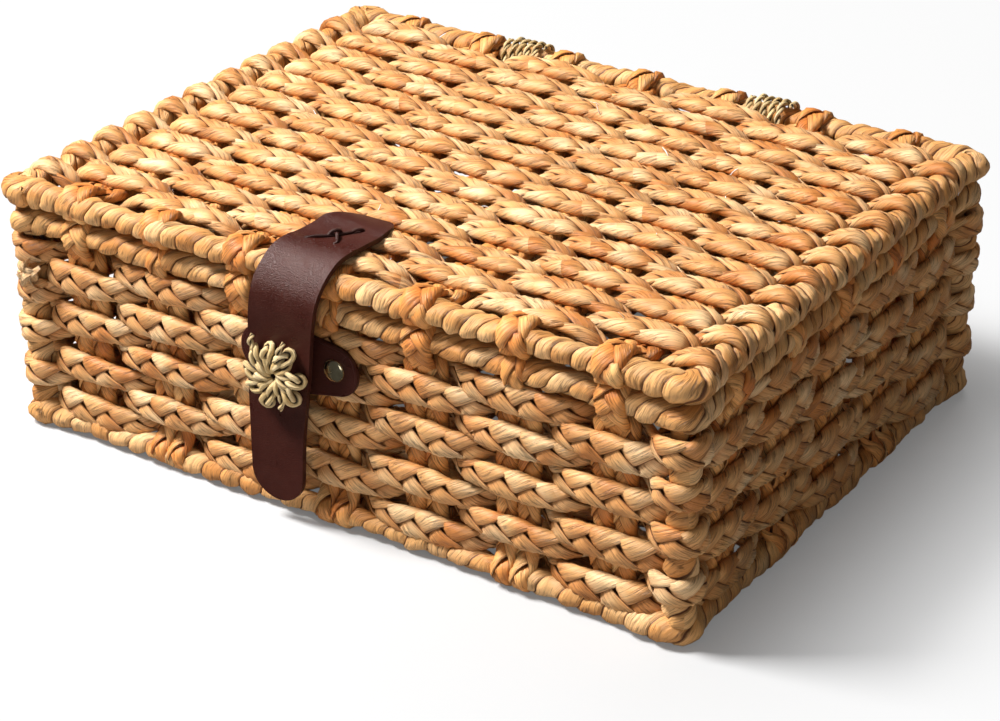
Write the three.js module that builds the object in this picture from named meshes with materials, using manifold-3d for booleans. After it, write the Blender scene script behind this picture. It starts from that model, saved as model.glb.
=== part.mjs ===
// Woven lidded box: leaf braids woven on a wire frame, with a leather closing strap.
// Millimetres, +Z up, +X along the long front wall, and the front faces -Y.
// The origin is the middle of the underside, where the base rests.
import * as THREE from 'three';
import { mergeVertices } from 'three/addons/utils/BufferGeometryUtils.js';
import Module from 'manifold-3d';

// Whole box, measured over the leaf-wrapped rims
const boxWidth = 400;
const boxDepth = 306;
const bodyHeight = 126;
const partingGap = 0.4;

// Rims, the wire inside them and the corner posts
const rimDiameter = 15;
const rimSides = 12;
const baseRimDiameter = 12;
const baseRimSides = 8;
const rimCornerRadius = 8;
const cornerSteps = 3;
const wireDiameter = 3.6;
const wireSides = 6;
const wireRoom = 0.3;
const wrapButtGap = 0.6;
const cornerWrapDiameter = 7;

// Weave: flat double stakes, and the braids that pass over and under them
const stakeWidth = 22;
const stakeThickness = 5.3;
const braidThickness = 5.3;
const weaveGap = 0.4;
const seatGap = 0.3;
const plateauMargin = 1.5;
const bulgeInset = 0.4;
const frontStakeCount = 7;
const frontStakeInset = 42.8;
const sideStakeCount = 5;
const sideStakeInset = 45.6;
const stakeBendRadius = 13;
const bendSteps = 4;
const wallRowCount = 8;
const cornerLeadDegrees = 28;
const cornerPathSteps = 3;
const lidRowCount = 22;
const lidRowsPerBraid = 4;
const lidRowEndFlat = 4;
const baseRowEndFlat = 2;
const braidTurnWidth = 12;

// Hinge lashings of twine, wound round the two rear rims
const lashingCordDiameter = 2.4;
const lashingCordSides = 6;
const lashingPitch = 4.6;
const lashingLoops = 5;
const lashingLoopSteps = 16;

// Closing strap
const strapCentre = -14.5;
const strapThickness = 2.6;
const strapWidth = 38;
const strapRearWidth = 32;
const strapRearCorner = 10;
const strapRearInset = 56;
const strapTaperLength = 34;
const strapTipWidth = 31;
const strapTipHeight = 10;
const strapTipLean = 8.5;
const strapTipSetback = 2;
const strapNarrowFrom = 78;
const strapNarrowTo = 48;
const strapFlexInset = 11;
const strapFlexGap = 0.4;
const strapBendRadius = 14;
const strapBendSteps = 6;
const strapStraightTo = 78;
const outlineOverrun = 40;

// Lace that ties the strap down to the lid
const laceDiameter = 2.2;
const laceHoleDiameter = 3;
const laceFrontAcross = -10.5;
const laceFrontInset = 18.5;
const laceRearAcross = 9;
const laceRearInset = 38;
const laceLeg = 4.2;
const laceSides = 6;
const laceSteps = 14;
const laceBendRadius = 2;

// Keeper tab riveted to the front wall, with the closing magnet
const tabCentre = -16;
const tabDrop = 36;
const tabMiddleRadius = 16.5;
const tabEndRadius = 13;
const rivetSpacing = 44;
const tabThickness = 2.4;
const rivetHeadDiameter = 12;
const rivetHeadHeight = 2.6;
const rivetRimHeight = 0.6;
const rivetShankDiameter = 4;
const rivetHoleRoom = 0.3;
const rivetClenchDiameter = 5.4;
const rivetClenchHeight = 1;
const rivetSegments = 12;
const magnetDiameter = 15;
const magnetThickness = 2;
const magnetChamfer = 0.5;
const magnetGap = 0.4;
const magnetSegments = 16;

// Flower knot of twisted cord on the strap
const flowerCentre = -20;
const flowerDrop = 39.5;
const flowerCordDiameter = 2.6;
const flowerCordSides = 5;
const flowerPetals = 8;
const flowerInnerRadius = 8;
const flowerTipRadius = 15;
const flowerInnerSteps = 2;
const flowerTipSteps = 4;

// Places worked out from the sizes above
const rimRadius = rimDiameter / 2;
const baseRimRadius = baseRimDiameter / 2;
const wireRadius = wireDiameter / 2;
const halfStake = stakeThickness / 2;
const halfBraid = braidThickness / 2;
const plateauHalf = stakeWidth / 2 + plateauMargin;
const braidReach = halfStake + weaveGap + halfBraid;
const weaveHalf = Math.max(braidReach + halfBraid, weaveGap + stakeThickness + halfStake);
const wallMidX = boxWidth / 2 - bulgeInset - weaveHalf;
const wallMidY = boxDepth / 2 - bulgeInset - weaveHalf;
const baseMid = weaveHalf;
const tabHeight = bodyHeight - tabDrop;
const flowerHeight = bodyHeight - flowerDrop;
const topRimHeight = bodyHeight - rimRadius;
const lidMid = bodyHeight + partingGap + rimRadius;
const lidTop = lidMid + weaveHalf;
const diagonalShare = 1 - Math.SQRT1_2;
const baseRimCornerRadius = rimCornerRadius + (rimRadius - baseRimRadius) / diagonalShare;
const postX = boxWidth / 2 - rimRadius - rimCornerRadius * diagonalShare;
const postY = boxDepth / 2 - rimRadius - rimCornerRadius * diagonalShare;
const rimVertexRadius = rimRadius / Math.cos(Math.PI / rimSides);
const lashingReach = rimVertexRadius + seatGap + lashingCordDiameter / 2;
const lashingRadius = lashingReach / Math.cos(Math.PI / lashingLoopSteps);
const lashingRoom = lashingRadius + lashingCordDiameter / 2 - rimRadius + seatGap;
const frontStakePitch = (boxWidth - 2 * frontStakeInset) / (frontStakeCount - 1);
const sideStakePitch = (boxDepth - 2 * sideStakeInset) / (sideStakeCount - 1);
const frontStakes = spread(frontStakeCount, frontStakePitch);
const sideStakes = spread(sideStakeCount, sideStakePitch);
const lastStakeEdge = frontStakes[frontStakeCount - 1] + stakeWidth / 2;

const wasm = await Module();
wasm.setup();

// Evenly spaced places about zero
function spread(count, pitch) {
  return Array.from({ length: count }, (_, i) => (i - (count - 1) / 2) * pitch);
}

// Turning between a drawn geometry and a solid that can be joined or cut
function toSolid(geometry) {
  const bare = geometry.clone();
  bare.deleteAttribute('normal');
  bare.deleteAttribute('uv');
  const merged = mergeVertices(bare);
  const mesh = new wasm.Mesh({
    numProp: 3,
    vertProperties: new Float32Array(merged.attributes.position.array),
    triVerts: new Uint32Array(merged.index.array),
  });
  return new wasm.Manifold(mesh);
}

function toGeometry(solid) {
  const mesh = solid.getMesh();
  const geometry = new THREE.BufferGeometry();
  geometry.setAttribute('position', new THREE.BufferAttribute(mesh.vertProperties, 3));
  geometry.setIndex(new THREE.BufferAttribute(mesh.triVerts, 1));
  geometry.computeVertexNormals();
  return geometry;
}

function joined(geometries) {
  return geometries.map(toSolid).reduce((whole, piece) => whole.add(piece));
}

// Extrusions of an outline: flat in plan, in the XZ plane and in the YZ plane
function extruded(shape, depth) {
  return new THREE.ExtrudeGeometry(shape, { depth, bevelEnabled: false, curveSegments: 6 });
}

function planExtrusion(shape, low, high) {
  return extruded(shape, high - low).translate(0, 0, low);
}

function frontExtrusion(shape, front, rear) {
  return extruded(shape, rear - front).rotateX(Math.PI / 2).translate(0, rear, 0);
}

function sideExtrusion(shape, left, right) {
  const toYZ = new THREE.Matrix4().makeBasis(
    new THREE.Vector3(0, 1, 0),
    new THREE.Vector3(0, 0, 1),
    new THREE.Vector3(1, 0, 0),
  );
  return extruded(shape, right - left).applyMatrix4(toYZ).translate(left, 0, 0);
}

// Points moved sideways from a path by a distance, with mitred corners
function offsetPath(points, distance, closed) {
  const last = points.length - 1;
  return points.map((point, i) => {
    const before = points[i === 0 ? (closed ? last : 0) : i - 1];
    const after = points[i === last ? (closed ? 0 : last) : i + 1];
    const inward = point.clone().sub(before).normalize();
    const outward = after.clone().sub(point).normalize();
    if (before === point) inward.copy(outward);
    if (after === point) outward.copy(inward);
    const normal = new THREE.Vector2(-inward.y - outward.y, inward.x + outward.x).normalize();
    const share = normal.dot(new THREE.Vector2(-inward.y, inward.x));
    return normal.multiplyScalar(distance / share).add(point);
  });
}

// Outline of a strip of even thickness along an open path, and round a closed one
function strip(points, thickness) {
  const left = offsetPath(points, thickness / 2, false);
  const right = offsetPath(points, -thickness / 2, false);
  return new THREE.Shape([...right, ...left.reverse()]);
}

function ring(points, thickness) {
  const shape = new THREE.Shape(offsetPath(points, -thickness / 2, true));
  shape.holes.push(new THREE.Path(offsetPath(points, thickness / 2, true)));
  return shape;
}

// Round tube through a list of points, as one body: a closed loop, or open with capped ends
function tube(points, radius, sides, up, closed) {
  const positions = [];
  const index = [];
  const count = points.length;
  points.forEach((point, i) => {
    const before = points[closed ? (i + count - 1) % count : Math.max(i - 1, 0)];
    const after = points[closed ? (i + 1) % count : Math.min(i + 1, count - 1)];
    const tangent = after.clone().sub(before).normalize();
    const side = tangent.clone().cross(up).normalize();
    const rise = side.clone().cross(tangent);
    const step = after.clone().sub(point).normalize();
    const mitre = closed ? 1 / Math.max(step.dot(tangent), Math.SQRT1_2) : 1;
    for (let j = 0; j < sides; j += 1) {
      const angle = ((j + 0.5) / sides) * 2 * Math.PI;
      const corner = point.clone();
      corner.addScaledVector(side, Math.cos(angle) * radius * mitre);
      corner.addScaledVector(rise, Math.sin(angle) * radius);
      positions.push(corner.x, corner.y, corner.z);
    }
  });
  const spans = closed ? count : count - 1;
  for (let i = 0; i < spans; i += 1) {
    for (let j = 0; j < sides; j += 1) {
      const a = i * sides + j;
      const b = i * sides + ((j + 1) % sides);
      const c = ((i + 1) % count) * sides + j;
      const d = ((i + 1) % count) * sides + ((j + 1) % sides);
      index.push(a, c, b, b, c, d);
    }
  }
  if (!closed) {
    const end = (count - 1) * sides;
    for (let j = 1; j < sides - 1; j += 1) {
      index.push(0, j, j + 1, end, end + j + 1, end + j);
    }
  }
  const geometry = new THREE.BufferGeometry();
  geometry.setAttribute('position', new THREE.Float32BufferAttribute(positions, 3));
  geometry.setIndex(index);
  geometry.computeVertexNormals();
  return geometry;
}

// Least clear distance between stretches of one cord that aren't next to each other
const nextToShare = 1.6;
function leastSelfGap(points, diameter) {
  const along = [0];
  for (let i = 1; i < points.length; i += 1) {
    along.push(along[i - 1] + points[i].distanceTo(points[i - 1]));
  }
  let least = Infinity;
  for (let i = 0; i < points.length; i += 1) {
    for (let j = i + 1; j < points.length; j += 1) {
      const apart = along[j] - along[i] > diameter * nextToShare;
      if (apart) least = Math.min(least, points[i].distanceTo(points[j]) - diameter);
    }
  }
  return least;
}

const group = new THREE.Group();
group.name = 'woven_lidded_box';

// Materials of the pieces
function finish(colour, roughness, metalness) {
  return { color: colour, roughness, metalness, flatShading: true };
}
const braidFinish = finish(0xd39a5a, 0.75, 0);
const stakeFinish = finish(0xc1814a, 0.78, 0);
const wrapFinish = finish(0xdba767, 0.72, 0);
const leatherFinish = finish(0x43201c, 0.42, 0);
const cordFinish = finish(0xb49a62, 0.85, 0);
const laceFinish = finish(0x35190f, 0.6, 0);
const brassFinish = finish(0xc9b27a, 0.25, 0.9);
const steelFinish = finish(0x8d8f92, 0.4, 0.9);

function add(name, shape, look) {
  const geometry = shape.isBufferGeometry ? shape : toGeometry(shape);
  const mesh = new THREE.Mesh(geometry, new THREE.MeshStandardMaterial(look));
  mesh.name = name;
  group.add(mesh);
}

// Rounded rectangle that a rim or its wire follows
function rimPath(inset, cornerRadius, height) {
  const points = [];
  const centreX = boxWidth / 2 - inset - cornerRadius;
  const centreY = boxDepth / 2 - inset - cornerRadius;
  const corners = [[1, -1], [1, 1], [-1, 1], [-1, -1]];
  corners.forEach(([signX, signY], quarter) => {
    for (let i = 0; i <= cornerSteps; i += 1) {
      const angle = (quarter - 1 + i / cornerSteps) * (Math.PI / 2);
      points.push(new THREE.Vector3(
        signX * centreX + cornerRadius * Math.cos(angle),
        signY * centreY + cornerRadius * Math.sin(angle),
        height,
      ));
    }
  });
  return points;
}

function rimTube(inset, cornerRadius, height, diameter, sides) {
  const path = rimPath(inset, cornerRadius, height);
  const vertexRadius = diameter / 2 / Math.cos(Math.PI / sides);
  return toSolid(tube(path, vertexRadius, sides, new THREE.Vector3(0, 0, 1), true));
}

// Wire frame: one ring in each rim, and a post in each corner of the body
function post(diameter, low, high) {
  const round = new THREE.CylinderGeometry(diameter / 2, diameter / 2, high - low, wireSides);
  return round.rotateX(Math.PI / 2).translate(0, 0, (low + high) / 2);
}

function cornerPlaces() {
  return [[1, -1], [1, 1], [-1, 1], [-1, -1]].map(([x, y]) => [x * postX, y * postY]);
}

function bodyFrame(diameter) {
  const upper = rimTube(rimRadius, rimCornerRadius, topRimHeight, diameter, wireSides);
  const lower = rimTube(
    baseRimRadius, baseRimCornerRadius, baseRimRadius, diameter, wireSides,
  );
  const posts = cornerPlaces().map(([x, y]) =>
    toSolid(post(diameter, baseRimRadius, topRimHeight).translate(x, y, 0)));
  return posts.reduce((whole, piece) => whole.add(piece), upper.add(lower));
}

const boredFrame = bodyFrame(wireDiameter + 2 * wireRoom);
const lidWire = (diameter) =>
  rimTube(rimRadius, rimCornerRadius, lidMid, diameter, wireSides);
add('box_frame_wire', bodyFrame(wireDiameter), steelFinish);
add('lid_frame_wire', lidWire(wireDiameter), steelFinish);

// Leaf wrapping round each wire: bored for it, and open where a post or the strip's ends come
const bodyRim = rimTube(rimRadius, rimCornerRadius, topRimHeight, rimDiameter, rimSides);
const baseRim = rimTube(
  baseRimRadius, baseRimCornerRadius, baseRimRadius, baseRimDiameter, baseRimSides,
);
const lidRim = rimTube(rimRadius, rimCornerRadius, lidMid, rimDiameter, rimSides);
const buttCut = new THREE.BoxGeometry(wrapButtGap, 2 * rimDiameter, 2 * rimDiameter)
  .translate(0, boxDepth / 2 - rimRadius, lidMid);
add('top_rim_wrap', bodyRim.subtract(boredFrame), wrapFinish);
add('bottom_rim_wrap', baseRim.subtract(boredFrame), wrapFinish);
add('lid_rim_wrap', lidRim.subtract(lidWire(wireDiameter + 2 * wireRoom))
  .subtract(toSolid(buttCut)), wrapFinish);

// Leaf sleeve round each corner post, between the rims
function cornerWrap(x, y) {
  const shape = new THREE.Shape().absarc(0, 0, cornerWrapDiameter / 2, 0, 2 * Math.PI);
  const bore = wireRadius + wireRoom;
  shape.holes.push(new THREE.Path().absarc(0, 0, bore, 0, 2 * Math.PI, true));
  const low = baseRimDiameter + seatGap;
  const high = bodyHeight - rimDiameter - seatGap;
  return new THREE.ExtrudeGeometry(shape, {
    depth: high - low, bevelEnabled: false, curveSegments: baseRimSides,
  }).translate(x, y, low);
}

cornerPlaces().forEach(([x, y], i) => {
  add(`corner_wrap_${i + 1}`, cornerWrap(x, y), wrapFinish);
});

// Stakes of the body: each runs down one wall, under the base and up the opposite wall
const stakeTop = bodyHeight - rimDiameter - seatGap;

function stakePath(wallMid, basePoints) {
  const half = [new THREE.Vector2(-wallMid, stakeTop)];
  for (let i = 0; i <= bendSteps; i += 1) {
    const angle = (i / bendSteps) * (Math.PI / 2);
    half.push(new THREE.Vector2(
      -wallMid + stakeBendRadius * (1 - Math.cos(angle)),
      baseMid + stakeBendRadius * (1 - Math.sin(angle)),
    ));
  }
  const other = half.map((point) => new THREE.Vector2(-point.x, point.y)).reverse();
  return [...half, ...basePoints, ...other];
}

// Places of a braid over (+) and under (-) a row of stakes
function weavePoints(stakes, reach, firstOver) {
  return stakes.flatMap((place, i) => {
    const level = (i % 2 === 0) === firstOver ? reach : -reach;
    return [place - plateauHalf, place + plateauHalf].map(
      (at) => new THREE.Vector2(at, level),
    );
  });
}

function raised(points, height) {
  return points.map((point) => new THREE.Vector2(point.x, point.y + height));
}

const rivetHoleRadius = rivetShankDiameter / 2 + rivetHoleRoom;
const rivetHole = (x, front, rear) => {
  const hole = new THREE.CylinderGeometry(
    rivetHoleRadius, rivetHoleRadius, rear - front, rivetSegments,
  );
  return toSolid(hole.translate(x, (front + rear) / 2, tabHeight));
};
const rivetPlaces = [tabCentre - rivetSpacing / 2, tabCentre + rivetSpacing / 2];

frontStakes.forEach((x, i) => {
  const shape = strip(stakePath(wallMidY, []), stakeThickness);
  let stake = toSolid(sideExtrusion(shape, x - stakeWidth / 2, x + stakeWidth / 2));
  rivetPlaces.filter((at) => Math.abs(at - x) < stakeWidth / 2 + rivetHoleRadius).forEach((at) => {
    stake = stake.subtract(rivetHole(at, -boxDepth / 2, 0));
  });
  add(`cross_stake_${i + 1}`, stake, stakeFinish);
});

const stakeReach = stakeThickness + weaveGap;
sideStakes.forEach((y, j) => {
  const under = raised(weavePoints(frontStakes, stakeReach, j % 2 === 0), baseMid);
  const shape = strip(stakePath(wallMidX, under), stakeThickness);
  const stake = frontExtrusion(shape, y - stakeWidth / 2, y + stakeWidth / 2);
  add(`side_stake_${j + 1}`, stake, stakeFinish);
});

// Wall braids: closed rings, one above another, outside every other stake and inside the rest
const rowsLow = baseRimDiameter + weaveGap;
const rowsHigh = bodyHeight - rimDiameter - lashingRoom;
const wallRowPitch = (rowsHigh - rowsLow + weaveGap) / wallRowCount;
const wallRowHeight = wallRowPitch - weaveGap;

// The lowest braid lies further in where it passes inside the bend of a stake
const bendInner = stakeBendRadius * Math.cos(Math.PI / 4 / bendSteps) - halfStake;
const bendRise = baseMid + stakeBendRadius - rowsLow;
const bendShelf = Math.sqrt(Math.max(bendInner ** 2 - bendRise ** 2, 0));
const firstRowInset = stakeBendRadius - halfStake - bendShelf;

const cornerPathRadius = cornerWrapDiameter / 2 + weaveGap + halfBraid;

function wallRowPath(row) {
  const outsideFirst = row % 2 === 0;
  const reachIn = braidReach + (row === 0 ? firstRowInset : 0);
  const walls = [
    [0, -1, wallMidY, postX, postY, frontStakes],
    [1, 0, wallMidX, postY, postX, sideStakes],
    [0, 1, wallMidY, postX, postY, frontStakes],
    [-1, 0, wallMidX, postY, postX, sideStakes],
  ];
  return walls.flatMap(([outX, outY, mid, postAlong, postOut, stakes]) => {
    const out = new THREE.Vector2(outX, outY);
    const along = new THREE.Vector2(-outY, outX);
    const place = (s, distance) =>
      along.clone().multiplyScalar(s).addScaledVector(out, distance);
    const points = weavePoints(stakes, 1, outsideFirst).map((point) =>
      place(point.x, mid + (point.y > 0 ? braidReach : -reachIn)));
    const corner = place(postAlong, postOut);
    if (outsideFirst) {
      const diagonal = along.clone().add(out).normalize();
      points.push(corner.addScaledVector(diagonal, -cornerPathRadius));
      return points;
    }
    const lead = THREE.MathUtils.degToRad(cornerLeadDegrees);
    const sweep = (Math.PI / 2 + 2 * lead) / cornerPathSteps;
    const radius = cornerPathRadius / Math.cos(sweep / 2);
    for (let i = 0; i <= cornerPathSteps; i += 1) {
      const angle = -lead + i * sweep;
      const around = along.clone().multiplyScalar(Math.sin(angle))
        .addScaledVector(out, Math.cos(angle));
      points.push(corner.clone().addScaledVector(around, radius));
    }
    return points;
  });
}

for (let row = 0; row < wallRowCount; row += 1) {
  const low = rowsLow + row * wallRowPitch;
  const high = low + wallRowHeight;
  let braid = toSolid(planExtrusion(ring(wallRowPath(row), braidThickness), low, high));
  if (low < tabHeight + rivetHoleRadius && tabHeight - rivetHoleRadius < high) {
    rivetPlaces.forEach((x) => {
      braid = braid.subtract(rivetHole(x, -boxDepth / 2, 0));
    });
  }
  add(`wall_braid_${row + 1}`, braid, braidFinish);
}

// One straight row of a flat weave along X, and the turn that joins it to the next row
function flatRow(end, endFlat, mid, firstOver, front, rear) {
  const path = [
    new THREE.Vector2(-end, 0),
    new THREE.Vector2(-end + endFlat, 0),
    ...weavePoints(frontStakes, braidReach, firstOver),
    new THREE.Vector2(end - endFlat, 0),
    new THREE.Vector2(end, 0),
  ];
  return frontExtrusion(strip(raised(path, mid), braidThickness), front, rear);
}

function rowTurn(end, width, side, mid, front, rear) {
  const turn = new THREE.BoxGeometry(width, rear - front, braidThickness);
  return turn.translate(side * (end - width / 2), (front + rear) / 2, mid);
}

// Base braids: one row outside the last side stakes, and a folded pair between two of them
const baseEndX = wallMidX - braidReach - firstRowInset - halfBraid - weaveGap;
const baseEndY = wallMidY - braidReach - firstRowInset - halfBraid - weaveGap;
const baseTurnWidth = baseEndX - lastStakeEdge - weaveGap;
const baseEdges = [-baseEndY, ...sideStakes.flatMap((y) =>
  [y - stakeWidth / 2 - weaveGap, y + stakeWidth / 2 + weaveGap]), baseEndY];

let baseLayer = 0;
for (let gap = 0; gap <= sideStakeCount; gap += 1) {
  const front = baseEdges[2 * gap];
  const rear = baseEdges[2 * gap + 1];
  const paired = gap > 0 && gap < sideStakeCount;
  const rows = paired ? 2 : 1;
  const width = (rear - front + weaveGap) / rows - weaveGap;
  const pieces = [];
  for (let i = 0; i < rows; i += 1) {
    const start = front + i * (width + weaveGap);
    const over = (baseLayer + i) % 2 === 1;
    pieces.push(flatRow(baseEndX, baseRowEndFlat, baseMid, over, start, start + width));
  }
  if (paired) {
    const side = gap % 2 === 0 ? 1 : -1;
    pieces.push(rowTurn(baseEndX, baseTurnWidth, side, baseMid, front, rear));
  }
  add(`base_braid_${gap + 1}`, joined(pieces), braidFinish);
  baseLayer += rows + 1;
}

// Lid stakes: straight, from the front rim to the rear rim
const lidFront = -(boxDepth / 2 - rimDiameter - weaveGap);
const lidRear = boxDepth / 2 - rimDiameter - weaveGap;
frontStakes.forEach((x, i) => {
  const stake = new THREE.BoxGeometry(stakeWidth, lidRear - lidFront, stakeThickness);
  add(`lid_stake_${i + 1}`, stake.translate(x, (lidFront + lidRear) / 2, lidMid), stakeFinish);
});

// Lid braids: each turns back at the side rims and makes four rows
const lidRowsRear = boxDepth / 2 - rimDiameter - lashingRoom;
const lidRowPitch = (lidRowsRear - lidFront + weaveGap) / lidRowCount;
const lidRowWidth = lidRowPitch - weaveGap;
const lidEnd = boxWidth / 2 - rimDiameter - weaveGap;
const lidBraidCount = Math.ceil(lidRowCount / lidRowsPerBraid);
for (let braid = 0; braid < lidBraidCount; braid += 1) {
  const first = braid * lidRowsPerBraid;
  const rows = Math.min(lidRowsPerBraid, lidRowCount - first);
  const pieces = [];
  for (let i = 0; i < rows; i += 1) {
    const front = lidFront + (first + i) * lidRowPitch;
    const over = (first + i) % 2 === 1;
    pieces.push(
      flatRow(lidEnd, lidRowEndFlat, lidMid, over, front, front + lidRowWidth),
    );
    if (i + 1 < rows) {
      const rear = front + lidRowPitch + lidRowWidth;
      const side = i % 2 === 0 ? 1 : -1;
      pieces.push(rowTurn(lidEnd, braidTurnWidth, side, lidMid, front, rear));
    }
  }
  add(`lid_braid_${braid + 1}`, joined(pieces), braidFinish);
}

// Hinge lashings: one winding each, round the lid's rear rim and the body's
function lashingPath(centre) {
  const points = [];
  const total = lashingLoops * lashingLoopSteps;
  for (let i = 0; i <= total; i += 1) {
    const turn = (i % lashingLoopSteps + 0.5) / lashingLoopSteps;
    const angle = turn * 2 * Math.PI;
    const height = turn < 0.5 ? lidMid : topRimHeight;
    points.push(new THREE.Vector3(
      centre + (i / total - 0.5) * lashingLoops * lashingPitch,
      boxDepth / 2 - rimRadius - lashingRadius * Math.cos(angle),
      height + lashingRadius * Math.sin(angle),
    ));
  }
  return points;
}

const lashingPlace = (frontStakes[frontStakeCount - 2] + frontStakes[frontStakeCount - 3]) / 2;
[['left', -lashingPlace], ['right', lashingPlace]].forEach(([name, centre]) => {
  const path = lashingPath(centre);
  const along = new THREE.Vector3(1, 0, 0);
  const cord = tube(path, lashingCordDiameter / 2, lashingCordSides, along, false);
  add(`hinge_lashing_${name}`, cord, cordFinish);
  const gap = leastSelfGap(path, lashingCordDiameter).toFixed(2);
  console.log(`hinge_lashing_${name}: least gap to itself ${gap} mm`);
});

// Strap: the part tied to the lid, and the flap that bends down over the front
const strapUnder = lidTop + seatGap;
const strapMid = strapUnder + strapThickness / 2;
const flexY = -boxDepth / 2 + strapFlexInset;
const strapRearY = -boxDepth / 2 + strapRearInset;
const laceHoles = [[laceFrontAcross, laceFrontInset], [laceRearAcross, laceRearInset]]
  .map(([across, inset]) => new THREE.Vector2(across, -boxDepth / 2 + inset));

function strapAnchor() {
  const half = strapWidth / 2;
  const rearHalf = strapRearWidth / 2;
  const shape = new THREE.Shape();
  shape.moveTo(-half, flexY + strapFlexGap);
  shape.lineTo(half, flexY + strapFlexGap);
  shape.lineTo(rearHalf, flexY + strapTaperLength);
  shape.absarc(
    rearHalf - strapRearCorner, strapRearY - strapRearCorner, strapRearCorner, 0, Math.PI / 2,
  );
  shape.absarc(
    strapRearCorner - rearHalf, strapRearY - strapRearCorner, strapRearCorner,
    Math.PI / 2, Math.PI,
  );
  shape.lineTo(-rearHalf, flexY + strapTaperLength);
  shape.closePath();
  laceHoles.forEach((hole) => {
    shape.holes.push(new THREE.Path().absarc(
      hole.x, hole.y, laceHoleDiameter / 2, 0, 2 * Math.PI, true,
    ));
  });
  return planExtrusion(shape, strapUnder, strapUnder + strapThickness);
}
add('strap_anchor', strapAnchor().translate(strapCentre, 0, 0), leatherFinish);

// Keeper tab and magnets stand in front of the weave in this order
const tabBack = -(boxDepth / 2 - bulgeInset + seatGap);
const tabFace = tabBack - tabThickness;
const plateBack = tabFace - seatGap;
const capBack = plateBack - magnetThickness - magnetGap;
const strapInnerY = capBack - magnetThickness - seatGap;
const strapHangY = strapInnerY - strapThickness / 2;

function flapProfile() {
  const bendCentreY = strapHangY + strapBendRadius;
  const bendCentreZ = strapMid - strapBendRadius;
  const points = [new THREE.Vector2(flexY, strapMid)];
  for (let i = 0; i <= strapBendSteps; i += 1) {
    const angle = Math.PI / 2 * (1 + i / strapBendSteps);
    points.push(new THREE.Vector2(
      bendCentreY + strapBendRadius * Math.cos(angle),
      bendCentreZ + strapBendRadius * Math.sin(angle),
    ));
  }
  points.push(new THREE.Vector2(strapHangY, strapStraightTo));
  points.push(new THREE.Vector2(strapHangY + strapTipSetback, strapTipHeight));
  return strip(points, strapThickness);
}

// Sideways drift of the hanging strap's centre line at a height
function strapDrift(height) {
  const share = (strapMid - height) / (strapMid - strapTipHeight);
  return strapCentre - strapTipLean * THREE.MathUtils.clamp(share, 0, 1);
}

function flapOutline() {
  const tipRadius = strapTipWidth / 2;
  const tipCentre = strapTipHeight + tipRadius;
  const shape = new THREE.Shape();
  const top = strapMid + strapThickness;
  shape.moveTo(strapDrift(top) + strapWidth / 2, top);
  shape.lineTo(strapDrift(strapMid) - strapWidth / 2, top);
  shape.lineTo(strapDrift(strapMid) - strapWidth / 2, strapMid - strapThickness);
  shape.lineTo(strapDrift(strapNarrowFrom) - strapWidth / 2, strapNarrowFrom);
  shape.lineTo(strapDrift(strapNarrowTo) - tipRadius, strapNarrowTo);
  shape.absarc(strapDrift(tipCentre), tipCentre, tipRadius, Math.PI, 2 * Math.PI);
  shape.lineTo(strapDrift(strapNarrowTo) + tipRadius, strapNarrowTo);
  shape.lineTo(strapDrift(strapNarrowFrom) + strapWidth / 2, strapNarrowFrom);
  shape.lineTo(strapDrift(strapMid) + strapWidth / 2, strapMid - strapThickness);
  return shape;
}

const flapSheet = toSolid(sideExtrusion(
  flapProfile(), strapCentre - outlineOverrun, strapCentre + outlineOverrun,
));
const flapFront = toSolid(frontExtrusion(
  flapOutline(), strapHangY - outlineOverrun, flexY + outlineOverrun,
));
add('strap_flap', flapSheet.intersect(flapFront), leatherFinish);

// Lace: one slanting stitch of round cord over the strap and down through its two holes
function laceStitch() {
  const over = strapUnder + strapThickness + seatGap + laceDiameter / 2;
  const low = strapUnder - laceLeg;
  const bend = laceBendRadius;
  const [front, rear] = laceHoles;
  const length = front.distanceTo(rear);
  const path = new THREE.CurvePath();
  const point = (along, height) => {
    const place = front.clone().lerp(rear, along / length);
    return new THREE.Vector3(strapCentre + place.x, place.y, height);
  };
  path.add(new THREE.LineCurve3(point(0, low), point(0, over - bend)));
  path.add(new THREE.QuadraticBezierCurve3(
    point(0, over - bend), point(0, over), point(bend, over),
  ));
  path.add(new THREE.LineCurve3(point(bend, over), point(length - bend, over)));
  path.add(new THREE.QuadraticBezierCurve3(
    point(length - bend, over), point(length, over), point(length, over - bend),
  ));
  path.add(new THREE.LineCurve3(point(length, over - bend), point(length, low)));
  const section = new THREE.Shape(Array.from({ length: laceSides }, (_, i) => {
    const angle = (i / laceSides) * 2 * Math.PI;
    return new THREE.Vector2(Math.cos(angle), Math.sin(angle))
      .multiplyScalar(laceDiameter / 2);
  }));
  return new THREE.ExtrudeGeometry(section, { steps: laceSteps, extrudePath: path });
}
add('strap_lace', laceStitch(), laceFinish);

// Keeper tab: a leather oval, fuller in the middle, with a rivet near each end
function keeperTab() {
  const shape = new THREE.Shape();
  const offset = rivetSpacing / 2;
  const lean = Math.acos((tabMiddleRadius - tabEndRadius) / offset);
  shape.absarc(offset, 0, tabEndRadius, -lean, lean);
  shape.absarc(0, 0, tabMiddleRadius, lean, Math.PI - lean);
  shape.absarc(-offset, 0, tabEndRadius, Math.PI - lean, Math.PI + lean);
  shape.absarc(0, 0, tabMiddleRadius, Math.PI + lean, 2 * Math.PI - lean);
  [-1, 1].forEach((side) => {
    shape.holes.push(new THREE.Path().absarc(
      side * offset, 0, rivetHoleRadius, 0, 2 * Math.PI, true,
    ));
  });
  return frontExtrusion(shape, tabFace, tabBack);
}
add('keeper_tab', keeperTab().translate(tabCentre, 0, tabHeight), leatherFinish);

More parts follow.
